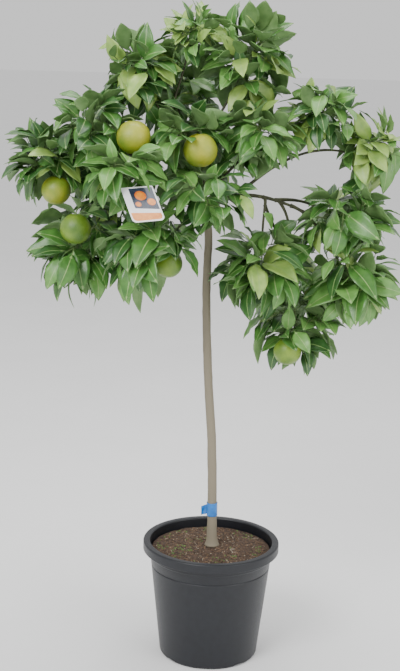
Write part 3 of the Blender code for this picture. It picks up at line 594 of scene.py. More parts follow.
class Growth:
    """The stem, shoots, side twigs, leaves and fruit stalks of one mass."""

    seed = 1000

    # How far leaves and twigs may cross a wall, and how far they may leave the ellipsoid.
    overlap = 0.032
    bulge = 1.32

    # The stem that carries on the bough.
    stem_end = 0.35
    stem_hang = 0.10
    stem_steps = 10
    stem_tip = 0.0012
    stem_span = (0.12, 0.80)

    # Shoots on the stem, and side twigs on the shoots.
    shoot_count = 9
    shoot_tries = 3
    shoot_turn = 0.7
    shoot_steps = 7
    shoot_reach = 0.66
    shoot_lengths = (0.80, 1.05)
    shoot_lead = 0.35
    shoot_trail = 0.3
    shoot_rise = 0.12
    shoot_droop = 0.35
    shoot_end_droop = 0.25
    shoot_stray = 0.15
    heavy_droop = 0.5
    heavy_rise = 0.6
    tip_seat = 0.92
    tip_foot = 0.0014
    shoot_foot = 0.0013
    side_foot = 0.0009
    twig_end = 0.0007
    side_shares = (0.45, 0.72)
    side_lean = 0.6
    side_lengths = (0.022, 0.048)
    side_scale = 0.85

    # Leaves: how many, where, how large, how they hang and how they face.
    leaf_counts = (4, 2)
    leaf_shares = (0.25, 0.70)
    leaf_tries = 6
    leaf_turn = math.radians(52)
    leaf_shrink = 0.06
    leaf_sizes = (0.72, 1.25)
    end_spread = 14
    wide_spread = 72
    spread_fall = 26
    same_tint = 0.7
    mid_tint = 0.62
    hangs = (0.1, 1.3)
    hang_lift = 0.05
    stray = 0.38
    outward = 0.6
    face_stray = 0.7
    near_squared = 0.0125

    # Stalks of the fruit.
    stalk_steps = 8
    stalk_rise = 0.2
    stalk_top = 0.010
    stalk_sink = 0.003
    stalk_foot = 0.0013
    stalk_swell = 0.0004

    def __init__(self, name: str, limb: Limb, obstacles: list[BVHTree],
                 taken: list[tuple[Vector, BVHTree]]) -> None:
        """Grow the mass on its bough.

        Args:
            name: The mass's name.
            limb: Its bough.
            obstacles: The limbs, the fruit and the label.
            taken: The middles and bodies of all leaves so far.
        """
        self.name = name
        self.mass = MASSES[name]
        self.centre = Vector(self.mass.centre)
        self.walls = walls_of(name)
        self.random = random.Random(self.seed + sum(map(ord, name)))
        self.obstacles = obstacles
        self.shoots: list[tuple[Limb, Vector | None, float]] = []
        self.leaves: list[Leaf] = []
        self.stalks: list[Limb] = []
        self.taken = taken
        _, run, radius = limb.at(1.0)
        entry = limb.points[-1]
        ahead = (self.centre - entry).normalized()
        self.ahead = ahead
        far = self.centre + ahead * radius_towards(self.mass, ahead) * self.stem_end
        span = (far - entry).length
        hang = UP * -self.stem_hang * self.mass.droop * span
        steps = self.stem_steps
        self.stem = Limb([bezier(entry, entry + run * span / 3, far - ahead * span / 3 - hang, far + hang,
                                 step / steps) for step in range(steps + 1)],
                         [radius + (self.stem_tip - radius) * step / steps for step in range(steps + 1)])
        self.grow_shoots()
        self.grow_leaves()
        self.grow_stalks()

    def keeps(self, point: Vector) -> bool:
        """Whether a point is on this mass's side of all walls, or little past one."""
        return all(way.dot(point) < limit + self.overlap for way, limit in self.walls)

    def off_stem(self, way: Vector) -> tuple[Vector, Vector, float]:
        """The point, direction and radius of the stem where a shoot that heads one way leaves it."""
        first, reach = self.stem_span
        return self.stem.at(first + reach * (0.5 + 0.5 * way.dot(self.ahead)))

    def shoot(self, start: Vector, run: Vector, way: Vector, tip: Vector, foot: float) -> Limb | None:
        """One shoot from a start to a tip.

        Args:
            start: Where it leaves its parent.
            run: The parent's direction there.
            way: The way the shoot heads.
            tip: Where it ends.
            foot: Its radius at the start.

        Returns:
            The shoot, or None where it would leave the space or touch a limb.
        """
        span = (tip - start).length
        rise = UP * self.shoot_rise * span * (1 if self.mass.droop < self.heavy_droop else self.heavy_rise)
        end_way = (way - UP * self.shoot_end_droop * self.mass.droop).normalized()
        steps = self.shoot_steps
        points = [bezier(start, start + (run + way).normalized() * span * self.shoot_lead + rise,
                         tip - end_way * span * self.shoot_trail + rise, tip, step / steps)
                  for step in range(steps + 1)]
        if not all(self.keeps(point) for point in points):
            return None
        for near, far in zip(points[1:], points[2:]):
            reach = far - near
            if any(tree.ray_cast(near, reach.normalized(), reach.length)[0] for tree in self.obstacles):
                return None
        return Limb(points, [foot + (self.twig_end - foot) * step / steps for step in range(steps + 1)])

    def grow_shoots(self) -> None:
        """Shoots to the named tips, shoots spread evenly over the mass, and side twigs on them."""
        mass = self.mass
        for tip in mass.tips:
            end = Vector(tip)
            way = (end - self.centre).normalized()
            start, run, _ = self.off_stem(way)
            made = self.shoot(start, run, way, end - way * mass.leaf * self.tip_seat, self.tip_foot)
            if made is not None:
                self.shoots.append((made, end, 1.0))
        turn = self.random.uniform(0, math.tau)
        count = self.shoot_count
        for index in range(count):
            for attempt in range(self.shoot_tries):
                height = 1 - 2 * (index + 0.5) / count + self.random.uniform(-self.shoot_stray, self.shoot_stray)
                height = min(max(height, -1), 1)
                flat = math.sqrt(1 - height ** 2)
                around = turn + index * GOLDEN + attempt * self.shoot_turn
                way = Vector((flat * math.cos(around), flat * math.sin(around), height))
                way = (way - UP * self.shoot_droop * mass.droop).normalized()
                stretch = radius_towards(mass, way) * self.shoot_reach * self.random.uniform(*self.shoot_lengths)
                start, run, _ = self.off_stem(way)
                made = self.shoot(start, run, way, self.centre + way * stretch, self.shoot_foot)
                if made is not None:
                    self.shoots.append((made, None, 1.0))
                    break
        for parent, _, _ in list(self.shoots):
            for share in self.side_shares:
                start, run, _ = parent.at(share)
                side = run.orthogonal().normalized()
                side.rotate(Quaternion(run, self.random.uniform(0, math.tau)))
                way = (run * self.side_lean + side).normalized()
                tip = start + way * self.random.uniform(*self.side_lengths)
                made = self.shoot(start, run, way, tip, self.side_foot)
                if made is not None:
                    self.shoots.append((made, None, self.side_scale))

    def grow_leaves(self) -> None:
        """Leaves up each shoot by the golden angle, with one at its tip."""
        for shoot, end, scale in self.shoots:
            tint = self.tint()
            turn = self.random.uniform(0, math.tau)
            count = self.leaf_counts[0 if scale == 1.0 else 1]
            for index in range(count, -1, -1):
                share = 1.0 if index == count else self.leaf_shares[0] + self.leaf_shares[1] * index / count
                root, run, _ = shoot.at(share)
                angle = self.end_spread if share == 1.0 else self.wide_spread - self.spread_fall * share
                spread = math.radians(angle)
                size = self.mass.leaf * scale * self.random.uniform(*self.leaf_sizes)
                shade = tint if self.random.random() < self.same_tint else self.tint()
                for attempt in range(self.leaf_tries):
                    twist = turn + index * GOLDEN + attempt * self.leaf_turn
                    leaf = self.seat(root, run, twist, spread, size * (1 - self.leaf_shrink * attempt), shade)
                    if end is not None and share == 1.0 and attempt == 0:
                        leaf.length = self.mass.leaf
                        leaf.way = (end - root).normalized()
                        leaf.face = (leaf.face - leaf.way * leaf.way.dot(leaf.face)).normalized()
                    if self.fits(leaf, end is not None):
                        self.leaves.append(leaf)
                        self.taken.append((leaf.middle(), body_of(leaf)))
                        break

    def tint(self) -> int:
        """A tint for a spray, by how young the mass is and how much painted sheen it shows.

        Returns:
            The slot of the tint.
        """
        draw = self.random.random()
        if draw < self.mass.young:
            return LeafSide.YOUNG
        # Sprays in the pale tint carry a painted sheen.
        if draw < self.mass.young + self.mass.painted_sheen_share:
            return LeafSide.PALE
        return LeafSide.MID if self.random.random() < self.mid_tint else LeafSide.DEEP

    def seat(self, root: Vector, run: Vector, turn: float, spread: float, size: float, tint: int) -> Leaf:
        """A leaf's place on its shoot.

        Args:
            root: Where it leaves the shoot.
            run: The shoot's direction there.
            turn: The turn about the shoot.
            spread: The angle from the shoot.
            size: The leaf's length.
            tint: The slot of its upper side.

        Returns:
            The leaf, hung by the droop and with its upper side to the light.
        """
        side = run.orthogonal().normalized()
        side.rotate(Quaternion(run, turn))
        hang = self.mass.droop * self.random.uniform(*self.hangs) - self.hang_lift
        stray = Vector([self.random.uniform(-self.stray, self.stray) for _ in range(3)])
        way = (run * math.cos(spread) + side * math.sin(spread) - UP * hang + stray).normalized()
        out = root - self.centre
        light = UP + Vector((out.x, out.y, 0)).normalized() * self.outward
        light += Vector([self.random.uniform(-self.face_stray, self.face_stray) for _ in range(3)])
        face = (light - way * way.dot(light)).normalized()
        return Leaf(root, way, face, size, tint)

    def fits(self, leaf: Leaf, free: bool) -> bool:
        """Test a leaf against the space, the limbs, the fruit and the other leaves.

        Args:
            leaf: The leaf.
            free: Whether it may leave the mass's ellipsoid.

        Returns:
            Whether it keeps to the space and clear of them all.
        """
        corners = leaf.corners()
        if not all(self.keeps(corner) for corner in corners):
            return False
        for corner in corners if not free else ():
            offset = corner - self.centre
            if sum((part / radius) ** 2 for part, radius in zip(offset, self.mass.radii)) > self.bulge ** 2:
                return False
        low, high = CAD_BOX
        if not all(least < part < most for corner in corners for least, part, most in zip(low, corner, high)):
            return False
        body = body_of(leaf)
        middle = leaf.middle()
        near = [tree for place, tree in self.taken if (place - middle).length_squared < self.near_squared]
        return not any(body.overlap(tree) for tree in self.obstacles + near)

    def grow_stalks(self) -> None:
        """A stalk for each fruit, from the nearest twig."""
        for x, y, z, radius in self.mass.fruit:
            top = Vector((x, y, z + radius))
            steps = self.stalk_steps
            seats = [limb.at(step / steps)[0] for limb in [self.stem] + [made for made, _, _ in self.shoots]
                     for step in range(2, steps)]
            start = min(seats, key=lambda point: (point - top).length)
            knee = (start + top) / 2 + UP * self.stalk_rise * (start - top).length
            points = [bezier(start, knee, top + UP * self.stalk_top, top - UP * self.stalk_sink, step / steps)
                      for step in range(steps + 1)]
            radii = [self.stalk_foot + self.stalk_swell * step / steps for step in range(steps + 1)]
            self.stalks.append(Limb(points, radii))


class BladePart(IntEnum):
    """The parts of a plain blade, before a leaf gives them its slots."""

    UNDER = 0
    UPPER = 1
    RIB = 2


class LeafBlade:
    """The fine blade that every leaf is a bent copy of."""

    columns = (-1.0, -0.66, -0.30, -0.045, 0.045, 0.30, 0.66, 1.0)
    rows = 11
    thick = 0.0055
    rib_half = 0.012
    downward = 0.25

    # The blade's half width along its length.
    petiole = 0.10
    half_width = 0.240
    belly_shift = 0.86
    fullness = 0.80
    taper = 0.28
    petiole_half = 0.007
    petiole_taper = 0.75

    # Its fold along the rib, the ripple of its edge, its veins, and its arch with the falling tip.
    fold = 0.17
    fold_curve = 1.25
    ripple_depth = 0.013
    ripple_count = 21
    ripple_shift = 2
    ripple_full = 0.1
    vein_depth = 0.0028
    vein_slant = 0.10
    vein_count = 60
    vein_full = 0.12
    vein_span = (0.1, 0.95)
    arch_height = 0.055
    tip_start = 0.45
    tip_drop = 0.10
    tip_curve = 1.5
    tip_scale = 0.41

    def __init__(self, wave: float) -> None:
        """Model the blade, one unit long, from a grid.

        Args:
            wave: How much its margin waves.
        """
        work = bmesh.new()
        bmesh.ops.create_grid(work, x_segments=len(self.columns) - 1, y_segments=self.rows - 1, size=1)
        for vertex in work.verts:
            column = round((vertex.co.x + 1) / 2 * (len(self.columns) - 1))
            along = (vertex.co.y + 1) / 2
            side = self.columns[column]
            vertex.co = self.shaped(side, along, wave)
        bmesh.ops.recalc_face_normals(work, faces=work.faces)
        if sum(face.normal.z for face in work.faces) < 0:
            bmesh.ops.reverse_faces(work, faces=work.faces)
        for face in work.faces:
            rib = abs(face.calc_center_median().x) < self.rib_half
            face.material_index = BladePart.RIB if rib else BladePart.UPPER
        upper = set(work.faces)
        bmesh.ops.solidify(work, geom=list(work.faces), thickness=self.thick)
        for face in work.faces:
            face.normal_update()
            if face not in upper or face.normal.z < -self.downward:
                face.material_index = BladePart.UNDER
        bmesh.ops.triangulate(work, faces=work.faces)
        self.points = np.array([vertex.co[:] for vertex in work.verts])
        work.verts.index_update()
        self.faces = np.array([[vertex.index for vertex in face.verts] for face in work.faces])
        self.kinds = np.array([face.material_index for face in work.faces])
        work.free()

    def shaped(self, side: float, along: float, wave: float) -> Vector:
        """The place of one point of the blade.

        Args:
            side: From -1 at the left margin to 1 at the right.
            along: From 0 at the root to 1 at the tip.
            wave: How much the margin waves.

        Returns:
            The point, with x across, y along and z up from the blade.
        """
        blade = max(along - self.petiole, 0) / (1 - self.petiole)
        half = 0.0
        if 0 < blade < 1:
            round_part = math.sin(math.pi * blade ** self.belly_shift) ** self.fullness
            half = self.half_width * round_part * (1 - self.taper * blade ** 4)
        half = max(half, self.petiole_half * (1 - self.petiole_taper * along))
        fold = self.fold * abs(side) ** self.fold_curve * half
        beat = math.sin(along * self.ripple_count + (self.ripple_shift if side > 0 else 0))
        ripple = wave * self.ripple_depth * abs(side) ** 2 * beat * min(half / self.ripple_full, 1)
        beat = math.cos((along - abs(side) * self.vein_slant) * self.vein_count)
        veined = self.vein_span[0] < abs(side) < self.vein_span[1]
        vein = self.vein_depth * beat * min(half / self.vein_full, 1) * veined
        drop = self.tip_drop * max(along - self.tip_start, 0) ** self.tip_curve / self.tip_scale
        arch = self.arch_height * math.sin(math.pi * along) - drop
        return Vector((side * half, along, fold + ripple + vein + arch))


class Foliage:
    """All masses, joined by kind into a few pieces."""

    groups = 6
    fruit_margin = 0.001
    fruit_clear = (0.03, 0.06, 0.09)
    clear_share = 0.7
    waves = (0.4, 1.0, 1.6)
    twig_sides = 6
    widths = (0.86, 1.10)
    bends = (0.5, 1.7)
    bend_depth = 0.05
    fruit_detail = 5
    dent_depth = 0.0026
    dent_share = 0.20
    pore_depth = 0.00022
    pores = 520
    flatness = 0.012
    calyx = (0.0052, 0.0020, 0.003)
    calyx_sides = 10
    calyx_sink = 0.0016
    calyx_points = (-0.15, 0.35)

    def __init__(self, limbs: dict[str, Limb]) -> None:
        """Grow every mass among the frame's limbs and fruit.

        Args:
            limbs: The trunk and boughs by name.
        """
        nodes = frame["nodes"]
        names = ["trunk", "hang_label", *("bough_" + name for name in MASSES)]
        obstacles = [tree_of(nodes[name]) for name in names]
        for mass in MASSES.values():
            for x, y, z, radius in mass.fruit:
                ball = bmesh.new()
                bmesh.ops.create_icosphere(ball, subdivisions=2, radius=radius + self.fruit_margin,
                                           matrix=Matrix.Translation((x, y, z)))
                for clear in self.fruit_clear if y < 0 else ():
                    bmesh.ops.create_icosphere(ball, subdivisions=2, radius=radius * self.clear_share,
                                               matrix=Matrix.Translation((x, y - clear, z)))
                obstacles.append(BVHTree.FromBMesh(ball))
                ball.free()
        taken: list[tuple[Vector, BVHTree]] = []
        self.masses = [Growth(name, limbs[name], obstacles, taken) for name in MASSES]

    def dress(self) -> None:
        """Make the leaves, twigs and fruit."""
        blades = [LeafBlade(wave) for wave in self.waves]
        size = math.ceil(len(self.masses) / self.groups)
        for group in range(self.groups):
            members = self.masses[group * size:(group + 1) * size]
            leaves = [leaf for growth in members for leaf in growth.leaves]
            self.add_leaves(f"leaves_{group}", leaves, blades, tuple("foliage_" + each.name for each in members))
        lines = []
        for growth in self.masses:
            lines.append((growth.stem.points, growth.stem.radii))
            lines += [(shoot.points, shoot.radii) for shoot, _, _ in growth.shoots]
            lines += [(stalk.points, stalk.radii) for stalk in growth.stalks]
        add_piece("twigs", tubes("twigs", lines, self.twig_sides), (TWIG,))
        self.add_fruit()

    def add_leaves(self, name: str, leaves: list[Leaf], blades: list[LeafBlade],
                   nodes: tuple[str, ...]) -> None:
        """Join bent copies of the blade into one piece.

        Args:
            name: The piece's name.
            leaves: The leaves.
            blades: The blades to choose from.
            nodes: The nodes that the piece replaces.
        """
        chance = random.Random(len(leaves))
        points, faces, slots = [], [], []
        count = 0
        for leaf in leaves:
            blade = blades[chance.randrange(len(blades))]
            across = leaf.way.cross(leaf.face)
            wide = chance.uniform(*self.widths)
            bend = chance.uniform(*self.bends)
            shape = blade.points * np.array([wide, 1, 1])
            shape[:, 2] -= self.bend_depth * (bend - 1) * shape[:, 1] ** 2
            frame_of_leaf = np.array([across[:], leaf.way[:], leaf.face[:]])
            points.append(shape @ frame_of_leaf * leaf.length + np.array(leaf.root[:]))
            faces.append(blade.faces + count)
            count += len(blade.points)
            kinds = np.array([LeafSide.UNDER, leaf.tint, LeafSide.RIB])
            slots.append(kinds[blade.kinds])
        mesh = bpy.data.meshes.new(name)
        mesh.from_pydata(np.concatenate(points), [], np.concatenate(faces))
        mesh.polygons.foreach_set("use_smooth", np.ones(len(mesh.polygons), dtype=bool))
        piece = add_piece(name, mesh, LEAF_FINISHES, nodes)
        piece.data.polygons.foreach_set("material_index", np.concatenate(slots).astype(np.int32))

    def add_fruit(self) -> None:
        """Dimpled fruit, each with a calyx under its stalk."""
        for ripe in (False, True):
            work = bmesh.new()
            for growth in self.masses:
                for x, y, z, radius in growth.mass.fruit if (growth.name in RIPER_FRUIT) == ripe else ():
                    made = bmesh.ops.create_icosphere(work, subdivisions=self.fruit_detail, radius=radius)["verts"]
                    for vertex in made:
                        spot = vertex.co
                        flat = Vector((spot.x, spot.y, 0)).length / radius
                        dent = self.dent_depth * math.exp(-(flat / self.dent_share) ** 2)
                        pore = self.pore_depth * noise.noise(spot * self.pores)
                        flatter = 1 - self.flatness * (spot.z / radius) ** 2
                        vertex.co = spot * (1 + (pore - dent) / radius) * flatter
                    bmesh.ops.translate(work, verts=made, vec=(x, y, z))
            add_piece("ripening_fruit" if ripe else "green_fruit", mesh_of(work, "fruit"),
                      (RIPE if ripe else PEEL,))
        cups = bmesh.new()
        wide, narrow, depth = self.calyx
        for growth in self.masses:
            for x, y, z, radius in growth.mass.fruit:
                seat = Matrix.Translation((x, y, z + radius - self.calyx_sink))
                made = bmesh.ops.create_cone(cups, cap_ends=True, segments=self.calyx_sides, radius1=wide,
                                             radius2=narrow, depth=depth, matrix=seat)
                for index, vertex in enumerate(made["verts"][:self.calyx_sides]):
                    vertex.co += Vector((vertex.co.x - x, vertex.co.y - y, 0)) * self.calyx_points[index % 2]
        add_piece("calyxes", mesh_of(cups, "calyxes", False), (TWIG,))


@dataclass
class NurseryPot:
    """The pot's thin wall, its turned-down lip, collar and groove."""

    height: float = 0.2596
    rim: float = 0.150
    lip: float = 0.020
    curl: float = 0.0035
    collar: float = 0.1368
    collar_foot: float = 0.0330
    shoulder: float = 0.1338
    groove_drop: float = 0.0540
    groove_depth: float = 0.0011
    base: float = 0.1090
    corner: float = 0.0060
    wall: float = 0.0022
    floor: float = 0.0075
    axis: float = 0.0001
    steps: int = 128
    turn: float = -95
    cuts: int = 8
    channel: Triple = (0.059, 0.030, 0.0084)
    channel_out: float = 0.0995
    drain: float = 0.006
    drain_out: float = 0.086
    drain_sides: int = 24
    sharp: float = 35

    def wall_radius(self, height: float) -> float:
        """Measure the outer wall below the collar.

        Args:
            height: The height above the floor.

        Returns:
            The radius there.
        """
        top = self.height - self.collar_foot
        return self.base + (self.shoulder - self.base) * (height - self.corner) / (top - self.corner)

    def outline(self) -> Outline:
        """Draw half a section through the pot.

        Returns:
            The wall's closed outline, as radius and height.
        """
        top, skirt = self.height, self.rim - self.wall
        foot, groove = self.height - self.collar_foot, self.height - self.groove_drop
        line = arc(self.rim - self.curl, top - self.curl, self.curl, 90, 0, 8)
        line += [(self.rim, top - self.lip + 0.001), (self.rim - 0.0008, top - self.lip), (skirt, top - self.lip),
                 (skirt, top - self.curl - self.wall), (self.collar, top - self.curl - self.wall),
                 (self.collar, foot + 0.0035), (self.collar - 0.0004, foot + 0.0022),
                 (self.shoulder + 0.0006, foot + 0.0003), (self.shoulder, foot - 0.001)]
        for rise, share in ((0.0022, 0), (0.0012, 0.6), (0, 1), (-0.0012, 0.6), (-0.0022, 0)):
            line.append((self.wall_radius(groove + rise) - self.groove_depth * share, groove + rise))
        line += arc(self.base - self.corner, self.corner, self.corner, 0, -90, 8)
        line += [(self.axis, 0), (self.axis, self.floor), (self.wall_radius(self.floor) - self.wall, self.floor),
                 (self.shoulder - self.wall, foot), (self.collar - self.wall, foot + 0.002),
                 (self.collar - self.wall, top - self.curl)]
        return line + arc(self.collar - self.wall + self.curl, top - self.curl, self.curl, 180, 90, 6)[1:]

    def dress(self) -> None:
        """Turn the outline and cut its channels and drains."""
        mesh = turned("nursery_pot", self.outline(), self.steps)
        channels, drains = bmesh.new(), bmesh.new()
        for index in range(self.cuts):
            turn = Matrix.Rotation(math.radians(self.turn) + math.tau * index / self.cuts, 4, "Z")
            size = Matrix.Diagonal((*self.channel, 1))
            seat = turn @ Matrix.Translation((self.channel_out, 0, 0))
            bmesh.ops.create_cube(channels, size=1, matrix=seat @ size)
            seat = turn @ Matrix.Translation((self.drain_out, 0, self.floor / 2))
            bmesh.ops.create_cone(drains, cap_ends=True, segments=self.drain_sides, radius1=self.drain,
                                  radius2=self.drain, depth=self.floor * 2, matrix=seat)
        for tool in (channels, drains):
            mesh = without(mesh, mesh_of(tool, "pot_tool", False))
        piece = add_piece("nursery_pot", mesh, (POT,), ("pot",))
        piece.data.set_sharp_from_angle(angle=math.radians(self.sharp))


def arc(x: float, y: float, radius: float, start: float, end: float, count: int) -> Outline:
    """Points on an arc, from one angle to the other in degrees."""
    turns = [math.radians(start + (end - start) * index / count) for index in range(count + 1)]
    return [(x + radius * math.cos(turn), y + radius * math.sin(turn)) for turn in turns]


def turned(name: str, outline: Outline, steps: int) -> bpy.types.Mesh:
    """A body spun about the vertical axis.

    Args:
        name: The mesh's name.
        outline: Its closed outline, as radius and height.
        steps: How many steps a full turn takes.

    Returns:
        The mesh, closed and facing out.
    """
    work = bmesh.new()
    knots = [work.verts.new((radius, 0, height)) for radius, height in outline]
    edges = [work.edges.new(ends) for ends in zip(knots, knots[1:] + knots[:1])]
    bmesh.ops.spin(work, geom=knots + edges, axis=UP, cent=(0, 0, 0), steps=steps, angle=math.tau, use_merge=True)
    bmesh.ops.remove_doubles(work, verts=work.verts, dist=MERGE)
    bmesh.ops.recalc_face_normals(work, faces=work.faces)
    return mesh_of(work, name)


def without(mesh: bpy.types.Mesh, tool: bpy.types.Mesh) -> bpy.types.Mesh:
    """Cut one mesh out of another.

    Args:
        mesh: The body.
        tool: What is cut away.

    Returns:
        The cut mesh.
    """
    body, cutter = (bpy.data.objects.new("cut", each) for each in (mesh, tool))
    for each in (body, cutter):
        bpy.context.scene.collection.objects.link(each)
    change = body.modifiers.new("cut", "BOOLEAN")
    change.operation = "DIFFERENCE"
    change.object = cutter
    bpy.context.view_layer.update()
    graph = bpy.context.evaluated_depsgraph_get()
    result = bpy.data.meshes.new_from_object(body.evaluated_get(graph))
    for each in (body, cutter):
        bpy.data.objects.remove(each, do_unlink=True)
    return result


@dataclass(frozen=True)
class Litter:
    """One kind of crumb on the soil: how many, their least and greatest radius, and how their sides compare."""

    name: str
    finish: Finish
    count: int
    sizes: tuple[float, float]
    shape: Triple
    seed: int


LITTER = (
    Litter("soil_chips", CHIP, 1500, (0.0011, 0.0034), (1.0, 0.7, 0.5), 11),
    Litter("soil_grit", GRIT, 150, (0.0008, 0.0019), (1.0, 0.8, 0.7), 12),
    Litter("soil_straw", GRIT, 45, (0.0050, 0.0130), (1.0, 0.09, 0.07), 13),
    Litter("soil_moss", MOSS, 200, (0.0010, 0.0030), (1.0, 0.9, 0.6), 14),
)


@dataclass
class Soil:
    """The potting soil: a rough surface strewn with chips, grit, straw and moss."""

    pot: NurseryPot
    top: float = 0.2470
    edge: float = 0.2405
    sink: float = 0.0012
    inset: float = 0.003
    clearance: float = 0.0006
    floor_clearance: float = 0.0004
    rings: int = 60
    steps: int = 160
    roughness: tuple[Triple, ...] = ((0.0016, 60, 0), (0.0009, 220, 3))
    rim_margin: float = 0.012
    trunk_margin: float = 0.014
    clumps: float = 22
    moss_least: float = 0.12
    tilt: float = 0.3
    bend: tuple[float, float] = (0.75, 1.2)
    rest: float = 0.3

    def height(self, x: float, y: float) -> float:
        """Measure the rough surface.

        Args:
            x: The place's distance to the right.
            y: Its distance to the back.

        Returns:
            The height there.
        """
        out = min(math.hypot(x, y) / (self.pot.shoulder - self.inset), 1)
        mound = self.top + (self.edge - self.top) * out ** 2
        rough = sum(depth * noise.noise(Vector((x * scale, y * scale, layer)))
                    for depth, scale, layer in self.roughness)
        return mound - self.sink + rough

    def dress(self) -> None:
        """Make the surface and strew it."""
        pot, axis = self.pot, self.pot.axis
        inner = pot.shoulder - pot.wall - self.clearance
        low = pot.floor + self.floor_clearance
        foot = pot.wall_radius(low) - pot.wall - self.clearance
        outline = [(axis + inner * step / self.rings, self.edge) for step in range(self.rings + 1)]
        outline += [(inner, pot.height - pot.collar_foot), (foot, low), (axis, low)]
        mesh = turned("potting_soil", outline, self.steps)
        for vertex in mesh.vertices:
            if abs(vertex.co.z - self.edge) < 10 * MERGE:
                vertex.co.z = self.height(vertex.co.x, vertex.co.y)
        add_piece("potting_soil", mesh, (SOIL,), ("soil",))
        for litter in LITTER:
            self.strew(litter)

    def strew(self, litter: Litter) -> None:
        """Scatter one kind of crumb over the soil; moss lies in patches.

        Args:
            litter: The kind of crumb.
        """
        chance = random.Random(litter.seed)
        crumb = bmesh.new()
        bmesh.ops.create_icosphere(crumb, subdivisions=1, radius=1)
        crumb.verts.index_update()
        points = np.array([vertex.co[:] for vertex in crumb.verts])
        faces = np.array([[vertex.index for vertex in face.verts] for face in crumb.faces])
        crumb.free()
        places, rows = [], []
        while len(places) < litter.count:
            out = math.sqrt(chance.random()) * (self.pot.shoulder - self.rim_margin)
            around = chance.uniform(0, math.tau)
            x, y = out * math.cos(around), out * math.sin(around)
            clump = noise.noise(Vector((x * self.clumps, y * self.clumps, litter.seed)))
            if out < self.trunk_margin or (litter.finish is MOSS and clump < self.moss_least):
                continue
            size = chance.uniform(*litter.sizes)
            turn = Quaternion(UP, chance.uniform(0, math.tau))
            turn = turn @ Quaternion((0, 1, 0), chance.uniform(-self.tilt, self.tilt))
            matrix = np.array(turn.to_matrix()) @ np.diag(litter.shape) * size
            bent = points * np.array([[chance.uniform(*self.bend)] for _ in points])
            rows.append(faces + len(points) * len(places))
            seat = np.array([x, y, self.height(x, y) + size * litter.shape[2] * self.rest])
            places.append(bent @ matrix.T + seat)
        mesh = bpy.data.meshes.new(litter.name)
        mesh.from_pydata(np.concatenate(places), [], np.concatenate(rows))
        add_piece(litter.name, mesh, (litter.finish,))


@dataclass
class Ribbon:
    """The blue film round the trunk, with its short tail."""

    middle: float = 0.330
    height: float = 0.030
    tail: float = 0.013
    looks: int = 400
    gap: float = 0.0009
    thick: float = 0.0006
    rows: int = 24
    sides: int = 48
    crease_depth: float = 0.0005
    creases: tuple[float, float] = (2, 190)
    tail_grid: tuple[int, int] = (10, 8)
    tail_curl: float = 0.0020
    tail_waves: tuple[float, float] = (4, 3)
    tail_height: float = 0.7
    tail_droop: float = 0.004
    tail_thick: float = 0.0005

    def dress(self, trunk: Limb) -> None:
        """Wrap the film and let it crease.

        Args:
            trunk: The limb that it is wrapped round.
        """
        seat, run, radius = min((trunk.at(step / self.looks) for step in range(self.looks)),
                                key=lambda place: abs(place[0].z - self.middle))
        lean = Matrix.Translation(seat) @ UP.rotation_difference(run).to_matrix().to_4x4()
        inner, half = radius + self.gap, self.height / 2
        outline = [(inner + self.thick, half - self.height * step / self.rows) for step in range(self.rows + 1)]
        outline += [(inner, -half), (inner, half)]
        mesh = turned("trunk_ribbon", outline, self.sides)
        work = bmesh.new()
        work.from_mesh(mesh)
        around, along = self.creases
        for vertex in work.verts:
            out = Vector((vertex.co.x, vertex.co.y, 0)).normalized()
            crease = abs(noise.noise(Vector((out.x * around, out.y * around, vertex.co.z * along))))
            vertex.co += out * self.crease_depth * crease
        columns, rows = self.tail_grid
        flap = bmesh.ops.create_grid(work, x_segments=columns, y_segments=rows, size=0.5)["verts"]
        for vertex in flap:
            away, rise = vertex.co.x + 0.5, vertex.co.y
            curl = self.tail_curl * math.sin(away * self.tail_waves[0] + rise * self.tail_waves[1])
            vertex.co = Vector((-(inner + self.tail * away), curl * away,
                                rise * self.height * self.tail_height - self.tail_droop * away))
        sheet = [face for face in work.faces if all(vertex in flap for vertex in face.verts)]
        bmesh.ops.solidify(work, geom=sheet, thickness=self.tail_thick)
        bmesh.ops.transform(work, matrix=lean, verts=work.verts)
        add_piece("trunk_ribbon", mesh_of(work, "trunk_ribbon"), (FILM,), ("trunk_band",))


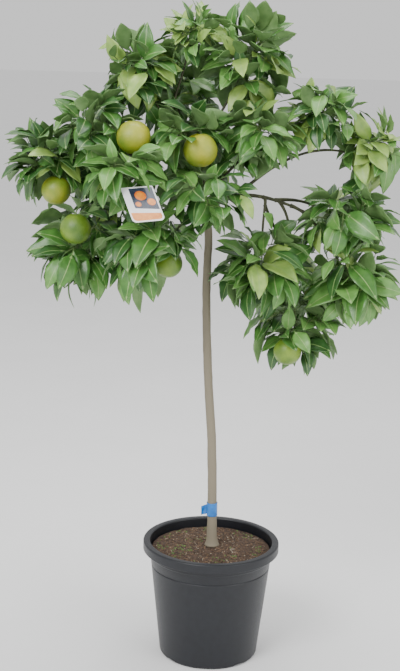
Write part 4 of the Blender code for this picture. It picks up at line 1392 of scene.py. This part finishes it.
@dataclass
class HangLabel:
    """A white card with a plain fruit design, on a strap round a bough."""

    middle: Triple = (-0.152, -0.262, 1.031)
    across: Triple = (0.912, 0.404, 0.060)
    down: Triple = (0.332, -0.651, -0.682)
    width: float = 0.065
    length: float = 0.085
    thick: float = 0.0008
    corner: float = 0.009
    inks: Triple = (0.00012, 0.00025, 0.00038)
    field: tuple[tuple[float, float], ...] = ((-0.018, 0.039), (0.0295, 0.039), (0.0295, -0.016), (-0.018, -0.009))
    foot: tuple[tuple[float, float], ...] = ((-0.030, -0.019), (0.0295, -0.025), (0.0295, -0.032))
    foot_corner: Triple = (0.0215, -0.0315, 0.008)
    fruit: tuple[Triple, ...] = ((0.001, 0.020, 0.0115), (0.0185, 0.003, 0.0085), (-0.009, 0.000, 0.006))
    fruit_sides: int = 24
    slice_share: float = 0.72
    bough_share: float = 0.86
    hole_drop: float = 0.003
    hole_side: float = 0.16
    loop_gap: float = 0.0016
    loop_steps: int = 16
    loop_thick: float = 0.0009
    strap_thick: float = 0.0011
    strap_sag: float = 0.004
    strap_steps: int = 4
    strap_sides: int = 8

    def panel(self, outline: Outline, level: float, place: Matrix, name: str) -> bpy.types.Mesh:
        """A flat panel of the card.

        Args:
            outline: Its corners on the card.
            level: How far its face stands over the card's middle.
            place: The card's place.
            name: The mesh's name.

        Returns:
            The panel's mesh.
        """
        work = bmesh.new()
        face = work.faces.new([work.verts.new((x, y, level)) for x, y in outline])
        made = bmesh.ops.extrude_face_region(work, geom=[face])["geom"]
        down = [item for item in made if isinstance(item, bmesh.types.BMVert)]
        bmesh.ops.translate(work, verts=down, vec=(0, 0, -max(level + self.thick / 2, self.thick)))
        bmesh.ops.recalc_face_normals(work, faces=work.faces)
        bmesh.ops.transform(work, matrix=place, verts=work.verts)
        return mesh_of(work, name, False)

    def dress(self, bough: Limb) -> None:
        """Make the card, its design and its strap.

        Args:
            bough: The bough that the strap loops round.
        """
        across = Vector(self.across).normalized()
        normal = across.cross(-Vector(self.down)).normalized()
        rise = normal.cross(across)
        place = Matrix((across, rise, normal)).transposed().to_4x4()
        place.translation = Vector(self.middle)
        half, drop, small = self.width / 2, self.length / 2, self.corner / 4
        outline = arc(half - small, drop - small, small, 90, 0, 4)
        outline += arc(half - self.corner, self.corner - drop, self.corner, 0, -90, 8)
        outline += arc(self.corner - half, self.corner - drop, self.corner, -90, -180, 8)
        outline += arc(small - half, drop - small, small, 180, 90, 4)
        top = self.thick / 2
        add_piece("label_card", self.panel(outline, top, place, "label_card"), (CARD,), ("hang_label",))
        x, y, radius = self.foot_corner
        foot = [*self.foot, *arc(x, y, radius, 0, -90, 5), *arc(-x, y, radius, -90, -180, 5)]
        first, second, third = self.inks
        designs = [("label_field", self.field, first, INK_NIGHT), ("label_foot", foot, first, INK_AMBER)]
        last, count = 360 - 360 / self.fruit_sides, self.fruit_sides - 1
        for index, (x, y, radius) in enumerate(self.fruit):
            disc = arc(x, y, radius, 0, last, count)
            inner = arc(x, y, radius * self.slice_share, 0, last, count)
            designs += [(f"label_fruit_{index}", disc, second, INK_ORANGE),
                        (f"label_slice_{index}", inner, third, INK_AMBER)]
        for name, shape, level, ink in designs:
            add_piece(name, self.panel(shape, top + level, place, name), (ink,))
        seat, run, radius = bough.at(self.bough_share)
        hole = Vector(self.middle) + rise * (drop - self.hole_drop) - across * self.width * self.hole_side
        loop = radius + self.loop_gap
        side = run.orthogonal().normalized()
        other = run.cross(side)
        ring = [seat + side * loop * math.cos(turn) + other * loop * math.sin(turn)
                for turn in (math.tau * step / self.loop_steps for step in range(self.loop_steps + 1))]
        near = min(ring, key=lambda point: (point - hole).length)
        sag = (near + hole) / 2 + normal * self.strap_sag
        steps = self.strap_steps
        strap = [near + (sag - near) * step / steps for step in range(steps)]
        strap += [sag + (hole - sag) * step / steps for step in range(steps + 1)]
        lines = [(ring, [self.loop_thick] * len(ring)), (strap, [self.strap_thick] * len(strap))]
        add_piece("label_strap", tubes("label_strap", lines, self.strap_sides), (CARD,))


@dataclass
class Studio:
    """The floor, the light and the camera."""

    place: Triple = (-0.0371, -2.7140, 1.3247)
    pitch: float = 12.534
    roll: float = 1.596
    lens: float = 69.75
    sensor: float = 36
    floor: float = 60
    sky: float = 0.9
    aim: Triple = (0, 0, 0.9)
    lamps: tuple = (("key", (-1.8, -2.6, 3.2), 120, 1.8), ("fill", (2.6, -2.2, 2.0), 50, 2.4),
                    ("top", (0.2, 0.6, 3.6), 60, 2.0))

    def set_up(self) -> None:
        """Lay the floor, hang the lights and aim the camera."""
        work = bmesh.new()
        bmesh.ops.create_grid(work, x_segments=1, y_segments=1, size=self.floor)
        floor = bpy.data.objects.new("floor", mesh_of(work, "floor"))
        floor.data.materials.append(FLOOR.material())
        bpy.context.scene.collection.objects.link(floor)
        world = bpy.data.worlds.new("studio")
        world.use_nodes = True
        sky = world.node_tree.nodes["Background"].inputs
        sky["Color"].default_value = (1, 1, 1, 1)
        sky["Strength"].default_value = self.sky
        bpy.context.scene.world = world
        for name, spot, power, size in self.lamps:
            lamp = bpy.data.lights.new(name, "AREA")
            lamp.energy = power
            lamp.size = size
            item = bpy.data.objects.new(name, lamp)
            item.location = spot
            item.rotation_euler = (Vector(self.aim) - Vector(spot)).to_track_quat("-Z", "Y").to_euler()
            bpy.context.scene.collection.objects.link(item)
        camera = bpy.data.cameras.new("camera")
        camera.lens = self.lens
        camera.sensor_width = self.sensor
        item = bpy.data.objects.new("camera", camera)
        tip = Matrix.Rotation(math.radians(90 - self.pitch), 4, "X")
        item.matrix_world = Matrix.Translation(self.place) @ (tip @ Matrix.Rotation(math.radians(self.roll), 4, "Z"))
        bpy.context.scene.collection.objects.link(item)
        bpy.context.scene.camera = item


def main() -> None:
    """Build every sub-assembly in order and note the sizes."""
    logging.basicConfig(level=logging.INFO, format="%(message)s")
    Studio().set_up()
    pot = NurseryPot()
    pot.dress()
    Soil(pot).dress()
    skeleton = Skeleton()
    limbs = skeleton.grow()
    skeleton.dress(limbs)
    Ribbon().dress(limbs["trunk"])
    HangLabel().dress(limbs["left_front"])
    foliage = Foliage(limbs)
    foliage.dress()
    LOG.info("%d leaves", sum(len(growth.leaves) for growth in foliage.masses))


if __name__ == "__main__":
    main()
